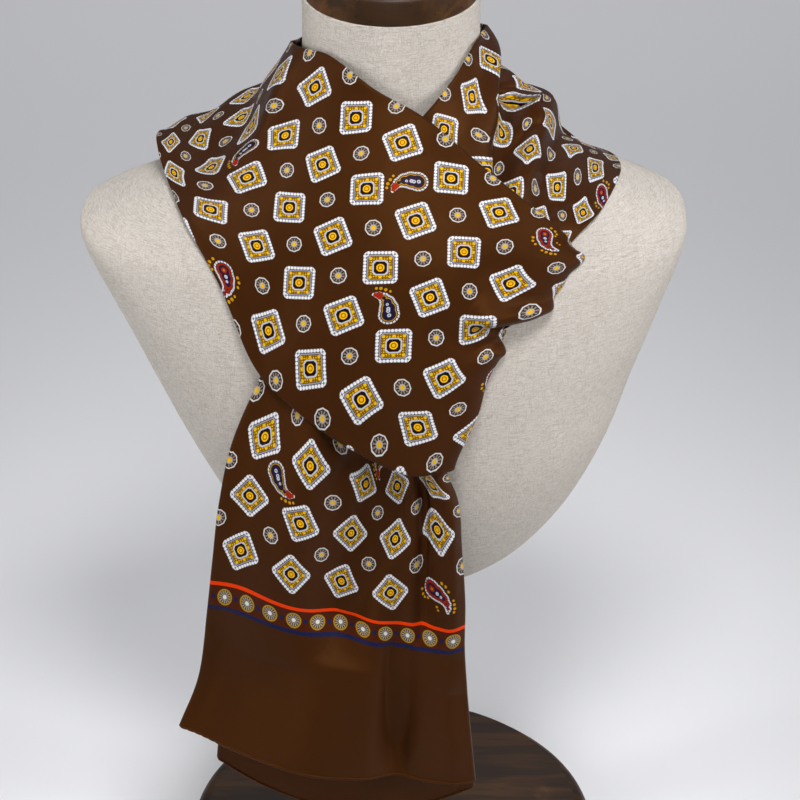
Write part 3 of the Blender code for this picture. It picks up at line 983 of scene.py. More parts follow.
@dataclass(frozen=True)
class Paisley:
    """A bent drop with a bead outline, a coloured band, a dark heart and yellow curls.

    Its fat end is up.  Places and radii are in repeats, and reaches count from its outline,
    negative inside it.
    """

    reach: float = 0.50
    body: tuple[Drop, ...] = (
        Drop(0.000, 0.150, 0.172),
        Drop(0.020, 0.040, 0.158),
        Drop(0.020, -0.070, 0.126),
        Drop(-0.018, -0.165, 0.092),
        Drop(-0.085, -0.235, 0.062),
        Drop(-0.155, -0.262, 0.040),
    )
    side_curls: tuple[Drop, ...] = (
        Drop(-0.225, 0.260, 0.030),
        Drop(-0.255, 0.190, 0.026),
        Drop(-0.215, 0.130, 0.022),
        Drop(-0.150, 0.330, 0.026),
        Drop(0.235, 0.060, 0.028),
        Drop(0.245, -0.020, 0.026),
        Drop(0.205, -0.100, 0.024),
        Drop(-0.215, -0.060, 0.022),
        Drop(-0.255, -0.110, 0.020),
    )
    end_curls: tuple[Drop, ...] = (
        Drop(0.040, -0.300, 0.028),
        Drop(-0.030, -0.345, 0.028),
        Drop(0.105, -0.250, 0.022),
        Drop(-0.100, -0.365, 0.024),
    )
    melting: float = 0.03
    beads: int = 34
    bead_half_width: float = 0.38  # of a bead's share of the turn
    outline_width: float = 0.030
    red_band_reach: tuple[float, float] = (-0.078, -0.040)
    yellow_band_reach: tuple[float, float] = (-0.060, -0.044)
    disc_at: float = 0.155
    disc_radius: float = 0.050
    disc_eye_radius: float = 0.020
    flowers_at: tuple[float, ...] = (0.165, 0.085)
    flower_reach: tuple[float, float] = (0.012, 0.032)
    buds: tuple[Drop, ...] = (Drop(0.01, 0.045, 0.032), Drop(0.01, -0.035, 0.024))
    bud_eye_radius: float = 0.008
    tip: Drop = Drop(-0.100, -0.235, 0.080)
    tip_margin: float = 0.004
    bead: tuple[float, ...] = srgb(196, 194, 198)
    red_band: tuple[float, ...] = srgb(128, 26, 10)
    yellow_band: tuple[float, ...] = srgb(160, 120, 22)
    heart: tuple[float, ...] = srgb(12, 18, 44)
    red_disc: tuple[float, ...] = srgb(140, 30, 12)
    flower: tuple[float, ...] = srgb(176, 176, 192)
    curl: tuple[float, ...] = srgb(176, 128, 14)

    def paint(self, paint: Paint, near: NearPaisley) -> None:
        """Lay the paisleys.

        Args:
            paint: The colours so far.
            near: Coordinates and masks of the paisley that is near.
        """
        x, y, red = near.x, near.y, near.red
        shown = (near.over_square + near.over_round).smaller(1.0)
        blue = red.inverted() * shown
        body: Optional[Field] = None
        for drop in self.body:
            gap = self._outside(x, y, drop)
            body = gap if body is None else body.melted(gap, self.melting)
        for drop in self.side_curls:
            paint.lay(self._outside(x, y, drop).below(0.0) * red, self.curl)
        for drop in self.end_curls:
            paint.lay(self._outside(x, y, drop).below(0.0) * shown, self.curl)
        around = x.angle(y) / (2 * math.pi)
        beads = (around * float(self.beads)).centred().size().below(self.bead_half_width)
        paint.lay(body.below(0.0) * shown, self.heart)
        paint.lay(body.within(-self.outline_width, 0.0) * beads * shown, self.bead)
        paint.lay(body.within(*self.red_band_reach) * red, self.red_band)
        paint.lay(body.within(*self.yellow_band_reach) * blue, self.yellow_band)
        disc = x.length(y - self.disc_at)
        paint.lay(disc.below(self.disc_radius) * red, self.red_disc)
        paint.lay(disc.below(self.disc_eye_radius) * red, self.yellow_band)
        for height in self.flowers_at:
            paint.lay(x.length(y - height).within(*self.flower_reach) * blue, self.flower)
        for bud in self.buds:
            ring = (x - bud.x).length(y - bud.y)
            paint.lay(ring.within(self.bud_eye_radius, bud.radius) * shown, self.flower)
        in_tip = self._outside(x, y, self.tip).below(0.0) * body.below(-self.tip_margin)
        paint.lay(in_tip * blue, self.red_disc)

    @staticmethod
    def _outside(x: Field, y: Field, drop: Drop) -> Field:
        """Return the distance from a round, negative inside it."""
        return (x - drop.x).length(y - drop.y) - drop.radius


@dataclass(frozen=True)
class WheelBorder:
    """The printed strip of wheels near each end, between an orange and a navy line.

    Places are repeats from the hem, and the rings of a wheel are shares of its radius.
    """

    orange_at: float = 3.0
    navy_at: float = 2.56
    line_half_width: float = 0.034
    block_half_side: float = 0.038
    wheel_at: float = 2.77
    wheel_pitch: float = 0.45
    wheel_radius: float = 0.145
    rays: int = 14
    ray_half_width: float = 0.27  # of a ray's share of the turn
    rim_ends: float = 0.80
    rays_begin: float = 0.76
    hub_begins: float = 0.26
    stripe: tuple[float, ...] = srgb(62, 22, 10)
    orange: tuple[float, ...] = srgb(214, 52, 2)
    navy: tuple[float, ...] = srgb(6, 24, 62)
    gold: tuple[float, ...] = srgb(150, 118, 34)
    dark: tuple[float, ...] = srgb(38, 30, 36)
    spoke: tuple[float, ...] = srgb(150, 140, 120)
    hub: tuple[float, ...] = srgb(206, 204, 204)

    def paint(self, paint: Paint, u: Field, from_hem: Field) -> None:
        """Lay the border.

        Args:
            paint: The colours so far.
            u: Across place.
            from_hem: Distance from the nearer hem.
        """
        half_line = self.line_half_width
        paint.lay(from_hem.within(self.navy_at, self.orange_at), self.stripe)
        for place, colour in ((self.orange_at, self.orange), (self.navy_at, self.navy)):
            paint.lay(from_hem.within(place - half_line, place + half_line), colour)
        down = from_hem - self.wheel_at
        between = (u / self.wheel_pitch + 0.5).centred() * self.wheel_pitch
        paint.lay(between.size().larger(down.size()).below(self.block_half_side), self.navy)
        side = (u / self.wheel_pitch).centred() * self.wheel_pitch
        distance = side.length(down) / self.wheel_radius
        around = side.angle(down) / (2 * math.pi)
        rays = (around * float(self.rays)).centred().size().below(self.ray_half_width)
        paint.lay(distance.below(1.0), self.gold)
        paint.lay(distance.below(self.rim_ends), self.dark)
        paint.lay(distance.below(self.rays_begin) * rays, self.spoke)
        paint.lay(distance.below(self.hub_begins), self.hub)


@dataclass(frozen=True)
class PrintedSilk:
    """Silk twill printed with a foulard of squares, medallions, paisleys and a wheel border."""

    ground: tuple[float, ...] = srgb(52, 26, 8)
    warm: tuple[float, ...] = srgb(59, 29, 10)
    dark: tuple[float, ...] = srgb(40, 20, 7)
    square: FoulardSquare = FoulardSquare()
    medallion: SmallMedallion = SmallMedallion()
    paisley: Paisley = Paisley()
    border: WheelBorder = WheelBorder()
    clear_of_border: float = 3.25  # no motif has its centre nearer to a hem
    patch_rates: Rates = Rates(0.55, 0.55)
    patch_tint: Tint = Tint(0.35, 0.75, 0.35)
    streak_rates: Rates = Rates(60.0, 1.5)
    streak_tint: Tint = Tint(0.5, 0.8, 0.20)
    twill_pitch: float = 0.014  # repeats between two ribs of the twill
    pucker_rates: Rates = Rates(2.2, 2.2, detail=3.0, roughness=0.45)
    thread_rates: Rates = Rates(90.0, 90.0, detail=1.0)
    rib_relief: float = 0.05
    thread_relief: float = 0.05
    pucker_relief: float = 0.9
    relief_depth: float = 0.0016  # m
    relief_strength: float = 0.55
    smoothest: float = 0.30
    uneven: float = 0.10  # how much threads and puckers each change the roughness
    specular: float = 0.20
    specular_tint: tuple[float, ...] = srgb(250, 172, 96)

    def make(self) -> bpy.types.Material:
        """Make the silk.

        Returns:
            The material.
        """
        bench = Bench("printed_silk")
        u, v = bench.uv(UV_STRIP)
        paint = Paint(bench.tree, self.ground)
        paint.tint(bench.cloud(self.patch_rates, u, v), self.patch_tint, self.warm)
        paint.tint(bench.cloud(self.streak_rates, u, v), self.streak_tint, self.dark)
        near = self._nearest_paisley(bench, u, v)
        cell_end = self._from_hem((v + 0.5).floor())
        between_end = self._from_hem(v.floor() + 0.5)
        squares = cell_end.above(self.clear_of_border) * near.over_square.inverted()
        self.square.paint(paint, u, v, squares)
        rounds = between_end.above(self.clear_of_border) * near.over_round.inverted()
        self.medallion.paint(paint, u.centred(), v.centred(), rounds)
        self.paisley.paint(paint, near)
        self.border.paint(paint, u, self._from_hem(v))
        bench.feed("Base Color", paint)
        self._surface(bench, u, v)
        return bench.material

    @staticmethod
    def _from_hem(place: Field) -> Field:
        """Return the distance from the nearer end of the strip."""
        return ((place * -1.0) + UNDER_HEM).smaller(place - FRONT_HEM)

    def _nearest_paisley(self, bench: Bench, u: Field, v: Field) -> "NearPaisley":
        """Return coordinates in the paisley that is near, its colour way and its masks.

        Args:
            bench: The material's node tree.
            u: Across place.
            v: Strip place.

        Returns:
            What the paisleys' printing needs at each place.
        """
        tree = bench.tree
        join = tree.nodes.new("ShaderNodeCombineXYZ")
        tree.links.new(u.socket, join.inputs[0])
        tree.links.new(v.socket, join.inputs[1])
        x, y = Field.constant(tree, 0.0), Field.constant(tree, 0.0)
        red, over_square, over_round = (Field.constant(tree, 0.0) for _ in range(3))
        for place in PAISLEYS:
            shift = tree.nodes.new("ShaderNodeVectorMath")
            shift.operation = "SUBTRACT"
            tree.links.new(join.outputs[0], shift.inputs[0])
            shift.inputs[1].default_value = (place.across, place.strip, 0.0)
            span = tree.nodes.new("ShaderNodeVectorMath")
            span.operation = "LENGTH"
            tree.links.new(shift.outputs[0], span.inputs[0])
            near = Field(tree, span.outputs["Value"]).below(self.paisley.reach)
            turn = tree.nodes.new("ShaderNodeVectorRotate")
            turn.rotation_type = "Z_AXIS"
            turn.inputs["Angle"].default_value = math.radians(90.0 - place.heading)
            tree.links.new(shift.outputs[0], turn.inputs["Vector"])
            split = tree.nodes.new("ShaderNodeSeparateXYZ")
            tree.links.new(turn.outputs[0], split.inputs[0])
            x = (Field(tree, split.outputs[0]) * place.hand.value) * near + x
            y = Field(tree, split.outputs[1]) * near + y
            red = red + near * place.motif.value
            if place.on_square():
                over_square = over_square + near
            else:
                over_round = over_round + near
        return NearPaisley(x, y, red, over_square, over_round)

    def _surface(self, bench: Bench, u: Field, v: Field) -> None:
        """Give the silk its twill, its gloss and small puckers.

        Args:
            bench: The material's node tree.
            u: Across place.
            v: Strip place.
        """
        ribs = ((u + v) * (2 * math.pi / self.twill_pitch)).sine() * 0.5 + 0.5
        puckers = bench.cloud(self.pucker_rates, u, v)
        threads = bench.cloud(self.thread_rates, u, v)
        height = (
            ribs * self.rib_relief + threads * self.thread_relief + puckers * self.pucker_relief
        )
        bench.relief(height, self.relief_depth, self.relief_strength)
        bench.feed("Roughness", threads * self.uneven + puckers * self.uneven + self.smoothest)
        bench.feed("Specular IOR Level", self.specular)
        bench.feed("Specular Tint", self.specular_tint)


@dataclass(frozen=True)
class NaturalLinen:
    """Natural linen canvas, glued smooth on the form: uneven threads, slubs and flecks.

    The noises are read round the form, down it, and from side to side, so that its two sides
    differ.  The first two rates are per millimetre and the third is per metre.
    """

    base: tuple[float, ...] = srgb(222, 214, 205)
    shade: tuple[float, ...] = srgb(186, 175, 162)
    light: tuple[float, ...] = srgb(242, 237, 231)
    fleck: tuple[float, ...] = srgb(146, 126, 104)
    thread_pitch: float = 0.62  # mm
    weft_rates: Rates = Rates(0.16, 1.9, 40.0, 3.0, 0.65)
    warp_rates: Rates = Rates(1.9, 0.16, 40.0, 3.0, 0.65)
    slub_rates: Rates = Rates(0.10, 1.3, 40.0)
    grain_rates: Rates = Rates(1.2, 1.2, 40.0, 2.0, 0.7)
    fleck_rates: Rates = Rates(0.30, 0.85, 40.0, 4.0, 0.8)
    weft_tint: Tint = Tint(0.47, 0.64, 0.85)
    warp_tint: Tint = Tint(0.49, 0.66, 0.70)
    slub_tint: Tint = Tint(0.60, 0.70, 0.60)
    grain_tint: Tint = Tint(0.50, 0.74, 0.60)
    grain_light_tint: Tint = Tint(0.50, 0.26, 0.50)
    fleck_tint: Tint = Tint(0.645, 0.69, 0.75)
    slub_relief: Tint = Tint(0.58, 0.70, 0.8)
    weave_relief: float = 0.25
    weft_relief: float = 0.9
    warp_relief: float = 0.7
    grain_relief: float = 0.9
    relief_depth: float = 0.0006  # m
    relief_strength: float = 0.9
    roughness: float = 0.93
    specular: float = 0.25
    sheen: float = 0.12
    sheen_roughness: float = 0.6

    def make(self) -> bpy.types.Material:
        """Make the linen.

        Returns:
            The material.
        """
        bench = Bench("natural_linen")
        u, v = bench.uv(UV_SURFACE)
        x = bench.place()[0]
        weft, warp, slubs, grain, flecks = (
            bench.cloud(rates, u, v, x)
            for rates in (
                self.weft_rates, self.warp_rates, self.slub_rates, self.grain_rates,
                self.fleck_rates,
            )
        )
        paint = Paint(bench.tree, self.base)
        paint.tint(weft, self.weft_tint, self.shade)
        paint.tint(warp, self.warp_tint, self.shade)
        paint.tint(slubs, self.slub_tint, self.light)
        paint.tint(grain, self.grain_tint, self.shade)
        paint.tint(grain, self.grain_light_tint, self.light)
        paint.tint(flecks, self.fleck_tint, self.fleck)
        bench.feed("Base Color", paint)
        rate = 2 * math.pi / self.thread_pitch
        weave = (u * rate).sine() * (v * rate).sine()
        raised = slubs.eased(self.slub_relief.begins, self.slub_relief.full)
        height = (
            weave * self.weave_relief + weft * self.weft_relief + warp * self.warp_relief
            + raised * self.slub_relief.strength + grain * self.grain_relief
        )
        bench.relief(height, self.relief_depth, self.relief_strength)
        bench.feed("Roughness", self.roughness)
        bench.feed("Specular IOR Level", self.specular)
        bench.feed("Sheen Weight", self.sheen)
        bench.feed("Sheen Roughness", self.sheen_roughness)
        return bench.material


@dataclass(frozen=True)
class StainedWood:
    """Dark stained hardwood under satin lacquer, with grain along one direction.

    Rates are per metre.
    """

    name: str
    dark: tuple[float, ...]
    light: tuple[float, ...]
    roughness: float = 0.48
    coat: float = 0.04
    pore: tuple[float, ...] = srgb(22, 13, 8)
    worn: tuple[float, ...] = srgb(122, 84, 50)
    wave_rates: Rates = Rates(7.0, 55.0, 30.0, 4.0, 0.5, 0.8)
    pore_rates: Rates = Rates(30.0, 700.0, 500.0)
    wear_rates: Rates = Rates(14.0, 14.0, 14.0, 5.0, 0.65)
    wave_tint: Tint = Tint(0.40, 0.70, 1.0)
    pore_tint: Tint = Tint(0.58, 0.72, 0.55)
    wear_tint: Tint = Tint(0.62, 0.80, 0.25)
    pore_relief: float = 0.6
    wave_relief: float = 0.4
    relief_depth: float = 0.00025  # m
    relief_strength: float = 0.35
    wear_roughness: float = 0.16
    specular: float = 0.22
    coat_roughness: float = 0.22

    def make(self) -> bpy.types.Material:
        """Make the stained wood.

        Returns:
            The material.
        """
        bench = Bench(self.name)
        x, y, z = bench.place()
        wave, pores, wear = (
            bench.cloud(rates, x, y, z)
            for rates in (self.wave_rates, self.pore_rates, self.wear_rates)
        )
        paint = Paint(bench.tree, self.dark)
        paint.tint(wave, self.wave_tint, self.light)
        paint.tint(pores, self.pore_tint, self.pore)
        paint.tint(wear, self.wear_tint, self.worn)
        bench.feed("Base Color", paint)
        height = pores * self.pore_relief + wave * self.wave_relief
        bench.relief(height, self.relief_depth, self.relief_strength)
        smoothest = self.roughness - self.wear_roughness / 2
        bench.feed("Roughness", wear * self.wear_roughness + smoothest)
        bench.feed("Specular IOR Level", self.specular)
        bench.feed("Coat Weight", self.coat)
        bench.feed("Coat Roughness", self.coat_roughness)
        return bench.material


@dataclass(frozen=True)
class StudioPaper:
    """Plain pale paper under the object."""

    colour: tuple[float, ...] = srgb(230, 230, 233)
    cloudy: tuple[float, ...] = srgb(210, 210, 214)
    cloud_rates: Rates = Rates(3.0, 3.0, 1.0)
    cloud_strength: float = 0.04
    roughness: float = 0.85

    def make(self) -> bpy.types.Material:
        """Make the paper.

        Returns:
            The material.
        """
        bench = Bench("studio_paper")
        paint = Paint(bench.tree, self.colour)
        clouds = bench.cloud(self.cloud_rates, *bench.place())
        paint.lay(clouds * self.cloud_strength, self.cloudy)
        bench.feed("Base Color", paint)
        bench.feed("Roughness", self.roughness)
        return bench.material


# ---- the form and its stand ----------------------------------------------------------------


@dataclass
class DressForm:
    """The linen-covered half bust with its neck, smooth and without limbs."""

    sides: int = 144
    step: float = 3.0
    first_steps: tuple[float, ...] = (0.0, 0.6, 1.5)
    sharp_degrees: float = 60.0
    lean_from: float = 664.0
    rings: list[np.ndarray] = field(default_factory=list)

    def outline(self, level: np.ndarray) -> np.ndarray:
        """Return the form's outline at one level.

        Args:
            level: Columns of a FormLevel.

        Returns:
            A point in each row, from the front's middle round to the viewer's right.
        """
        height, left, right, front, back, squareness = level
        power = 2.0 / squareness
        angle = -math.pi / 2 + 2 * math.pi * np.arange(self.sides) / self.sides
        across, deep = np.cos(angle), np.sin(angle)
        x = np.sign(across) * np.abs(across) ** power * np.where(across > 0, right, left)
        y = np.sign(deep) * np.abs(deep) ** power * np.where(deep > 0, back, front)
        share = max(0.0, height - self.lean_from) / (NECK_TOP - self.lean_from)
        z = height + share * math.tan(NECK_LEAN) * y
        return np.stack([x, y, z], axis=1)

    def build(self, material: bpy.types.Material) -> bpy.types.Object:
        """Build the form from closely spaced outlines.

        Args:
            material: The linen.

        Returns:
            The form.
        """
        low, high = FORM_LEVELS[0].height, FORM_LEVELS[-1].height
        heights = np.linspace(low, high, int((high - low) / self.step) + 1)
        fine = np.concatenate([low + np.array(self.first_steps), heights[1:]])
        self.rings = [self.outline(level) for level in read_rows(FORM_LEVELS, fine)]
        points = np.concatenate(self.rings)
        uv = self._lay_out()
        faces = ring_faces(len(self.rings), self.sides)
        layer = (UV_SURFACE, uv)
        item = make_piece(
            "dress_form_linen", points, faces, material, layer, self.sharp_degrees)
        return dress(item, ["dress_form"])

    def _lay_out(self) -> np.ndarray:
        """Lay the linen's own coordinates out from the front's middle, round both sides.

        Returns:
            The way round and the way up, in millimetres, for each point.
        """
        uv = []
        meridian = 0.0
        for i, ring in enumerate(self.rings):
            if i:
                meridian += float(np.linalg.norm(ring - self.rings[i - 1], axis=1).mean())
            steps = np.linalg.norm(np.roll(ring, -1, axis=0) - ring, axis=1)
            girth = np.concatenate([[0.0], np.cumsum(steps)[:-1]])
            half = self.sides // 2
            girth[half:] = steps.sum() - girth[half:]
            uv.append(np.stack([girth, np.full(self.sides, meridian)], axis=1))
        return np.concatenate(uv)

    def surface(self) -> BVHTree:
        """Make a search tree over the form's surface, in millimetres.

        Returns:
            The tree.
        """
        points = [Vector(point) for point in np.concatenate(self.rings)]
        return BVHTree.FromPolygons(points, ring_faces(len(self.rings), self.sides))


@dataclass
class Stand:
    """The turned base, the pole with its collar, and the cap on the neck."""

    base_height: float = 28.0
    gap: float = 0.3
    pole_radius: float = 11.0
    collar_radius: float = 21.0
    collar_height: float = 11.0
    cap_radius: float = 59.5
    sides: int = 160
    sharp_degrees: float = 35.0
    base_profile: tuple[TurnedPoint, ...] = (
        TurnedPoint(150.0, 0.0),
        TurnedPoint(155.5, 2.5),
        TurnedPoint(158.0, 8.0),
        TurnedPoint(157.5, 15.5),
        TurnedPoint(154.0, 20.5),
        TurnedPoint(148.5, 23.0),
        TurnedPoint(145.5, 24.5),
        TurnedPoint(144.0, 28.0),
    )

    def _turned(
        self, name: str, profile: Sequence[TurnedPoint], material: bpy.types.Material,
        smooth_steps: int = 1, foot: float = 0.0, lean: float = 0.0,
    ) -> bpy.types.Object:
        """Turn a profile about the vertical axis.

        Args:
            name: Name of the piece.
            profile: Its steps from the bottom to the top.
            material: Its finish.
            smooth_steps: How many short steps each step is divided into, on a smooth curve.
            foot: Height of its underside.
            lean: How far it leans to the front.

        Returns:
            The piece.
        """
        steps = np.array(profile, float)
        if smooth_steps > 1:
            rows = [(float(i), *step) for i, step in enumerate(profile)]
            at = np.linspace(0, len(rows) - 1, (len(rows) - 1) * smooth_steps + 1)
            steps = read_rows(rows, at)[:, 1:]
        angle = 2 * math.pi * np.arange(self.sides) / self.sides
        points = np.concatenate([
            np.stack([r * np.cos(angle), r * np.sin(angle), np.full(self.sides, h)], axis=1)
            for r, h in steps
        ])
        tilt = Matrix.Rotation(lean, 3, "X")
        points = points @ np.array(tilt).T + np.array([0.0, 0.0, foot])
        faces = ring_faces(len(steps), self.sides)
        return make_piece(name, points, faces, material, None, self.sharp_degrees)

    def build(
        self, cap_wood: bpy.types.Material, base_wood: bpy.types.Material,
        pole_wood: bpy.types.Material,
    ) -> None:
        """Build the three turned parts.

        Args:
            cap_wood: Finish of the cap.
            base_wood: Finish of the base.
            pole_wood: Finish of the pole.
        """
        body = list(self.base_profile[:-1])
        rim = self.base_profile[-1].radius
        base = self._turned("stand_base_turned", [
            *body,
            TurnedPoint(rim, self.base_height - 1.2),
            TurnedPoint(rim - 0.4, self.base_height - 0.3),
            TurnedPoint(rim - 1.4, self.base_height),
            TurnedPoint(rim - 40.0, self.base_height),
            TurnedPoint(self.collar_radius, self.base_height),
        ], base_wood, 3)
        dress(base, ["stand_base"])
        bottom = self.base_height + self.gap
        length = FORM_LEVELS[0].height - self.gap - bottom
        pole = self._turned("stand_pole_turned", [
            TurnedPoint(self.collar_radius - 0.6, 0.0),
            TurnedPoint(self.collar_radius, 0.8),
            TurnedPoint(self.collar_radius, self.collar_height - 4.0),
            TurnedPoint(self.collar_radius - 1.2, self.collar_height - 1.6),
            TurnedPoint(self.collar_radius - 4.0, self.collar_height),
            TurnedPoint(self.pole_radius + 0.6, self.collar_height + 0.4),
            TurnedPoint(self.pole_radius, self.collar_height + 1.4),
            TurnedPoint(self.pole_radius, length),
        ], pole_wood, 1, bottom)
        dress(pole, ["stand_pole"])
        radius = self.cap_radius
        cap = self._turned("neck_cap_turned", [
            TurnedPoint(radius - 1.5, 0.0),
            TurnedPoint(radius - 0.4, 0.4),
            TurnedPoint(radius, 1.5),
            TurnedPoint(radius, 15.0),
            TurnedPoint(radius - 0.6, 16.8),
            TurnedPoint(radius - 2.0, 18.5),
            TurnedPoint(radius - 8.0, 21.5),
            TurnedPoint(radius - 24.0, 25.0),
            TurnedPoint(radius - 45.0, 27.0),
            TurnedPoint(1.0, 27.0),
        ], cap_wood, 2, NECK_TOP + self.gap, NECK_LEAN)
        dress(cap, ["neck_cap"])


# ---- the scarf -----------------------------------------------------------------------------


@dataclass
class Stretch:
    """One stretch of the strip: a grid of points in millimetres and its print coordinates.

    Its places along the strip are from_along plus along_sign times its own.  open_share is the
    share of its cloth that lies open, where the rest is pleated under, seam_rows is how many
    rows ease into a neighbour, and folds swell and fall off by fold_taper and fold_fall.
    """

    name: str
    rows: Sequence[Section]
    folds: Sequence[Fold]
    creases: Sequence[Crease]
    facing: Facing
    slips: Sequence[Slip] = ()
    pulls: Sequence[Pull] = ()
    from_along: float = 0.0
    along_sign: float = 1.0
    open_share: float = 1.0
    seam_rows: int = 28
    per_repeat: int = 24
    columns: int = 121
    fold_taper: float = 0.7
    fold_fall: float = 1.4
    points: np.ndarray = field(default_factory=lambda: np.zeros((0, 0, 3)))
    along: np.ndarray = field(default_factory=lambda: np.zeros((0, 0)))
    across: np.ndarray = field(default_factory=lambda: np.zeros((0, 0)))

    def lay(self) -> None:
        """Place the grid on its sections and raise its folds and creases."""
        first, last = self.rows[0].along, self.rows[-1].along
        count = max(8, round((last - first) * self.per_repeat)) + 1
        rows = read_rows(self.rows, np.linspace(first, last, count))
        t = np.linspace(0.0, 1.0, self.columns)
        weights = (2 * (t - 0.5) * (t - 1), 4 * t * (1 - t), 2 * t * (t - 0.5))
        corners = rows[:, 2:].reshape(count, 3, 3)
        self.points = sum(
            weight[None, :, None] * corners[:, k, None, :] for k, weight in enumerate(weights)
        )
        self.along = np.repeat(rows[:, :1], self.columns, axis=1)
        self.across = SELVEDGE + (rows[:, 1:2] - SELVEDGE) * t[None, :]
        lift, push = self._relief()
        normals = self.normals()
        sideways = unit(np.gradient(self.points, axis=1))
        self.points = self.points + normals * lift[..., None] + sideways * push[..., None]
        for pull in self.pulls:
            self.points += self._fading(pull)[..., None] * np.array(pull[4:])

    def _fading(self, spot: Union[Slip, Pull]) -> np.ndarray:
        """Tell how much of a slip or a pull each point takes.

        Args:
            spot: The slip or the pull.

        Returns:
            A share from 0 to 1 for each point.
        """
        off_across = (self.across - spot.across) / spot.reach_across
        off_along = (self.along - spot.along) / spot.reach_along
        return np.exp(-off_across * off_across - off_along * off_along)

    def _relief(self) -> tuple[np.ndarray, np.ndarray]:
        """Raise the folds and creases.

        Returns:
            How far each point is lifted, and how far it is pushed sideways.
        """
        lift, push = np.zeros_like(self.along), np.zeros_like(self.along)
        for fold in self.folds:
            share = (self.along - fold.begins) / (fold.ends - fold.begins)
            inside = (share > 0) & (share < 1)
            swell = np.sin(np.pi * np.clip(share, 0, 1)) ** self.fold_taper * inside
            offset = (self.across - fold.start - fold.drift * share) / fold.half_width
            bell = swell * np.exp(-self.fold_fall * offset * offset)
            lift += fold.height * bell
            push += fold.lean * bell
        for crease in self.creases:
            run = np.array([crease.across1 - crease.across0, crease.along1 - crease.along0])
            length = float(np.hypot(*run))
            heading = run / length
            x, y = self.across - crease.across0, self.along - crease.along0
            share = (x * heading[0] + y * heading[1]) / length
            swell = np.sin(np.pi * np.clip(share, 0, 1)) ** self.fold_taper
            width = crease.width0 + (crease.width1 - crease.width0) * np.clip(share, 0, 1)
            offset = (y * heading[0] - x * heading[1]) / width
            lift += crease.height * swell * np.exp(-offset * offset)
        return lift, push

    def normals(self) -> np.ndarray:
        """Find the way out from the form at each point.

        Returns:
            Unit normals.
        """
        lengthwise = np.gradient(self.points, axis=0)
        crosswise = np.gradient(self.points, axis=1)
        return unit(np.cross(lengthwise, crosswise)) * self.facing.value

    def even_out(self, rounds: int, amount: float = 0.4) -> None:
        """Relax the inner points towards their neighbours.

        Args:
            rounds: How often.
            amount: How far towards them, as a share.
        """
        for _ in range(rounds):
            p = self.points
            around = (p[:-2, 1:-1] + p[2:, 1:-1] + p[1:-1, :-2] + p[1:-1, 2:]) / 4
            self.points = p.copy()
            self.points[1:-1, 1:-1] += (around - p[1:-1, 1:-1]) * amount

    def keep_clear(self, obstacles: Sequence[tuple[BVHTree, float]]) -> None:
        """Move points out of each obstacle by at least its gap.

        Args:
            obstacles: Search trees with the least distance to each, in millimetres.
        """
        depth_searched, past_edge = 30.0, 3.0
        flat = self.points.reshape(-1, 3)
        for tree, gap in obstacles:
            for k, place in enumerate(flat):
                point = Vector(place)
                spot, normal, _, _ = tree.find_nearest(point, depth_searched)
                if spot is None:
                    continue
                away = point - spot
                depth = away.dot(normal)
                if depth < gap and (away - normal * depth).length < past_edge:
                    flat[k] = point + normal * (gap - depth)
        self.points = flat.reshape(self.points.shape)

    def ease_into(self, line: np.ndarray, last: bool) -> None:
        """Shift one end of the grid onto a line, and the rows before it by less and less.

        Args:
            line: The line to meet.
            last: True for the far end of the stretch.
        """
        edge = -1 if last else 0
        shift = line - self.points[edge]
        for k in range(self.seam_rows):
            row = edge - k if last else k
            self.points[row] += shift * (1 - k / self.seam_rows) ** 2

    def surface(self) -> BVHTree:
        """Make a search tree whose faces look away from the form.

        Returns:
            The tree.
        """
        count, columns = self.points.shape[:2]
        faces = []
        for i in range(count - 1):
            for j in range(columns - 1):
                a = i * columns + j
                face = [a, a + columns, a + columns + 1, a + 1]
                faces.append(face if self.facing is Facing.ALONG_FIRST else face[::-1])
        return BVHTree.FromPolygons([Vector(p) for p in self.points.reshape(-1, 3)], faces)

    def strip_places(self) -> np.ndarray:
        """Read each point's place in the print.

        Returns:
            Its (across, strip) place.
        """
        across, along = self.across.copy(), self.along.copy()
        for slip in self.slips:
            across += slip.move_across * self._fading(slip)
            along += slip.move_along * self._fading(slip)
        return np.stack([across, self.from_along + self.along_sign * along], axis=-1)


HEMS = {"scarf_front_tail": "hem_front_tail", "scarf_under_tail": "hem_under_tail"}


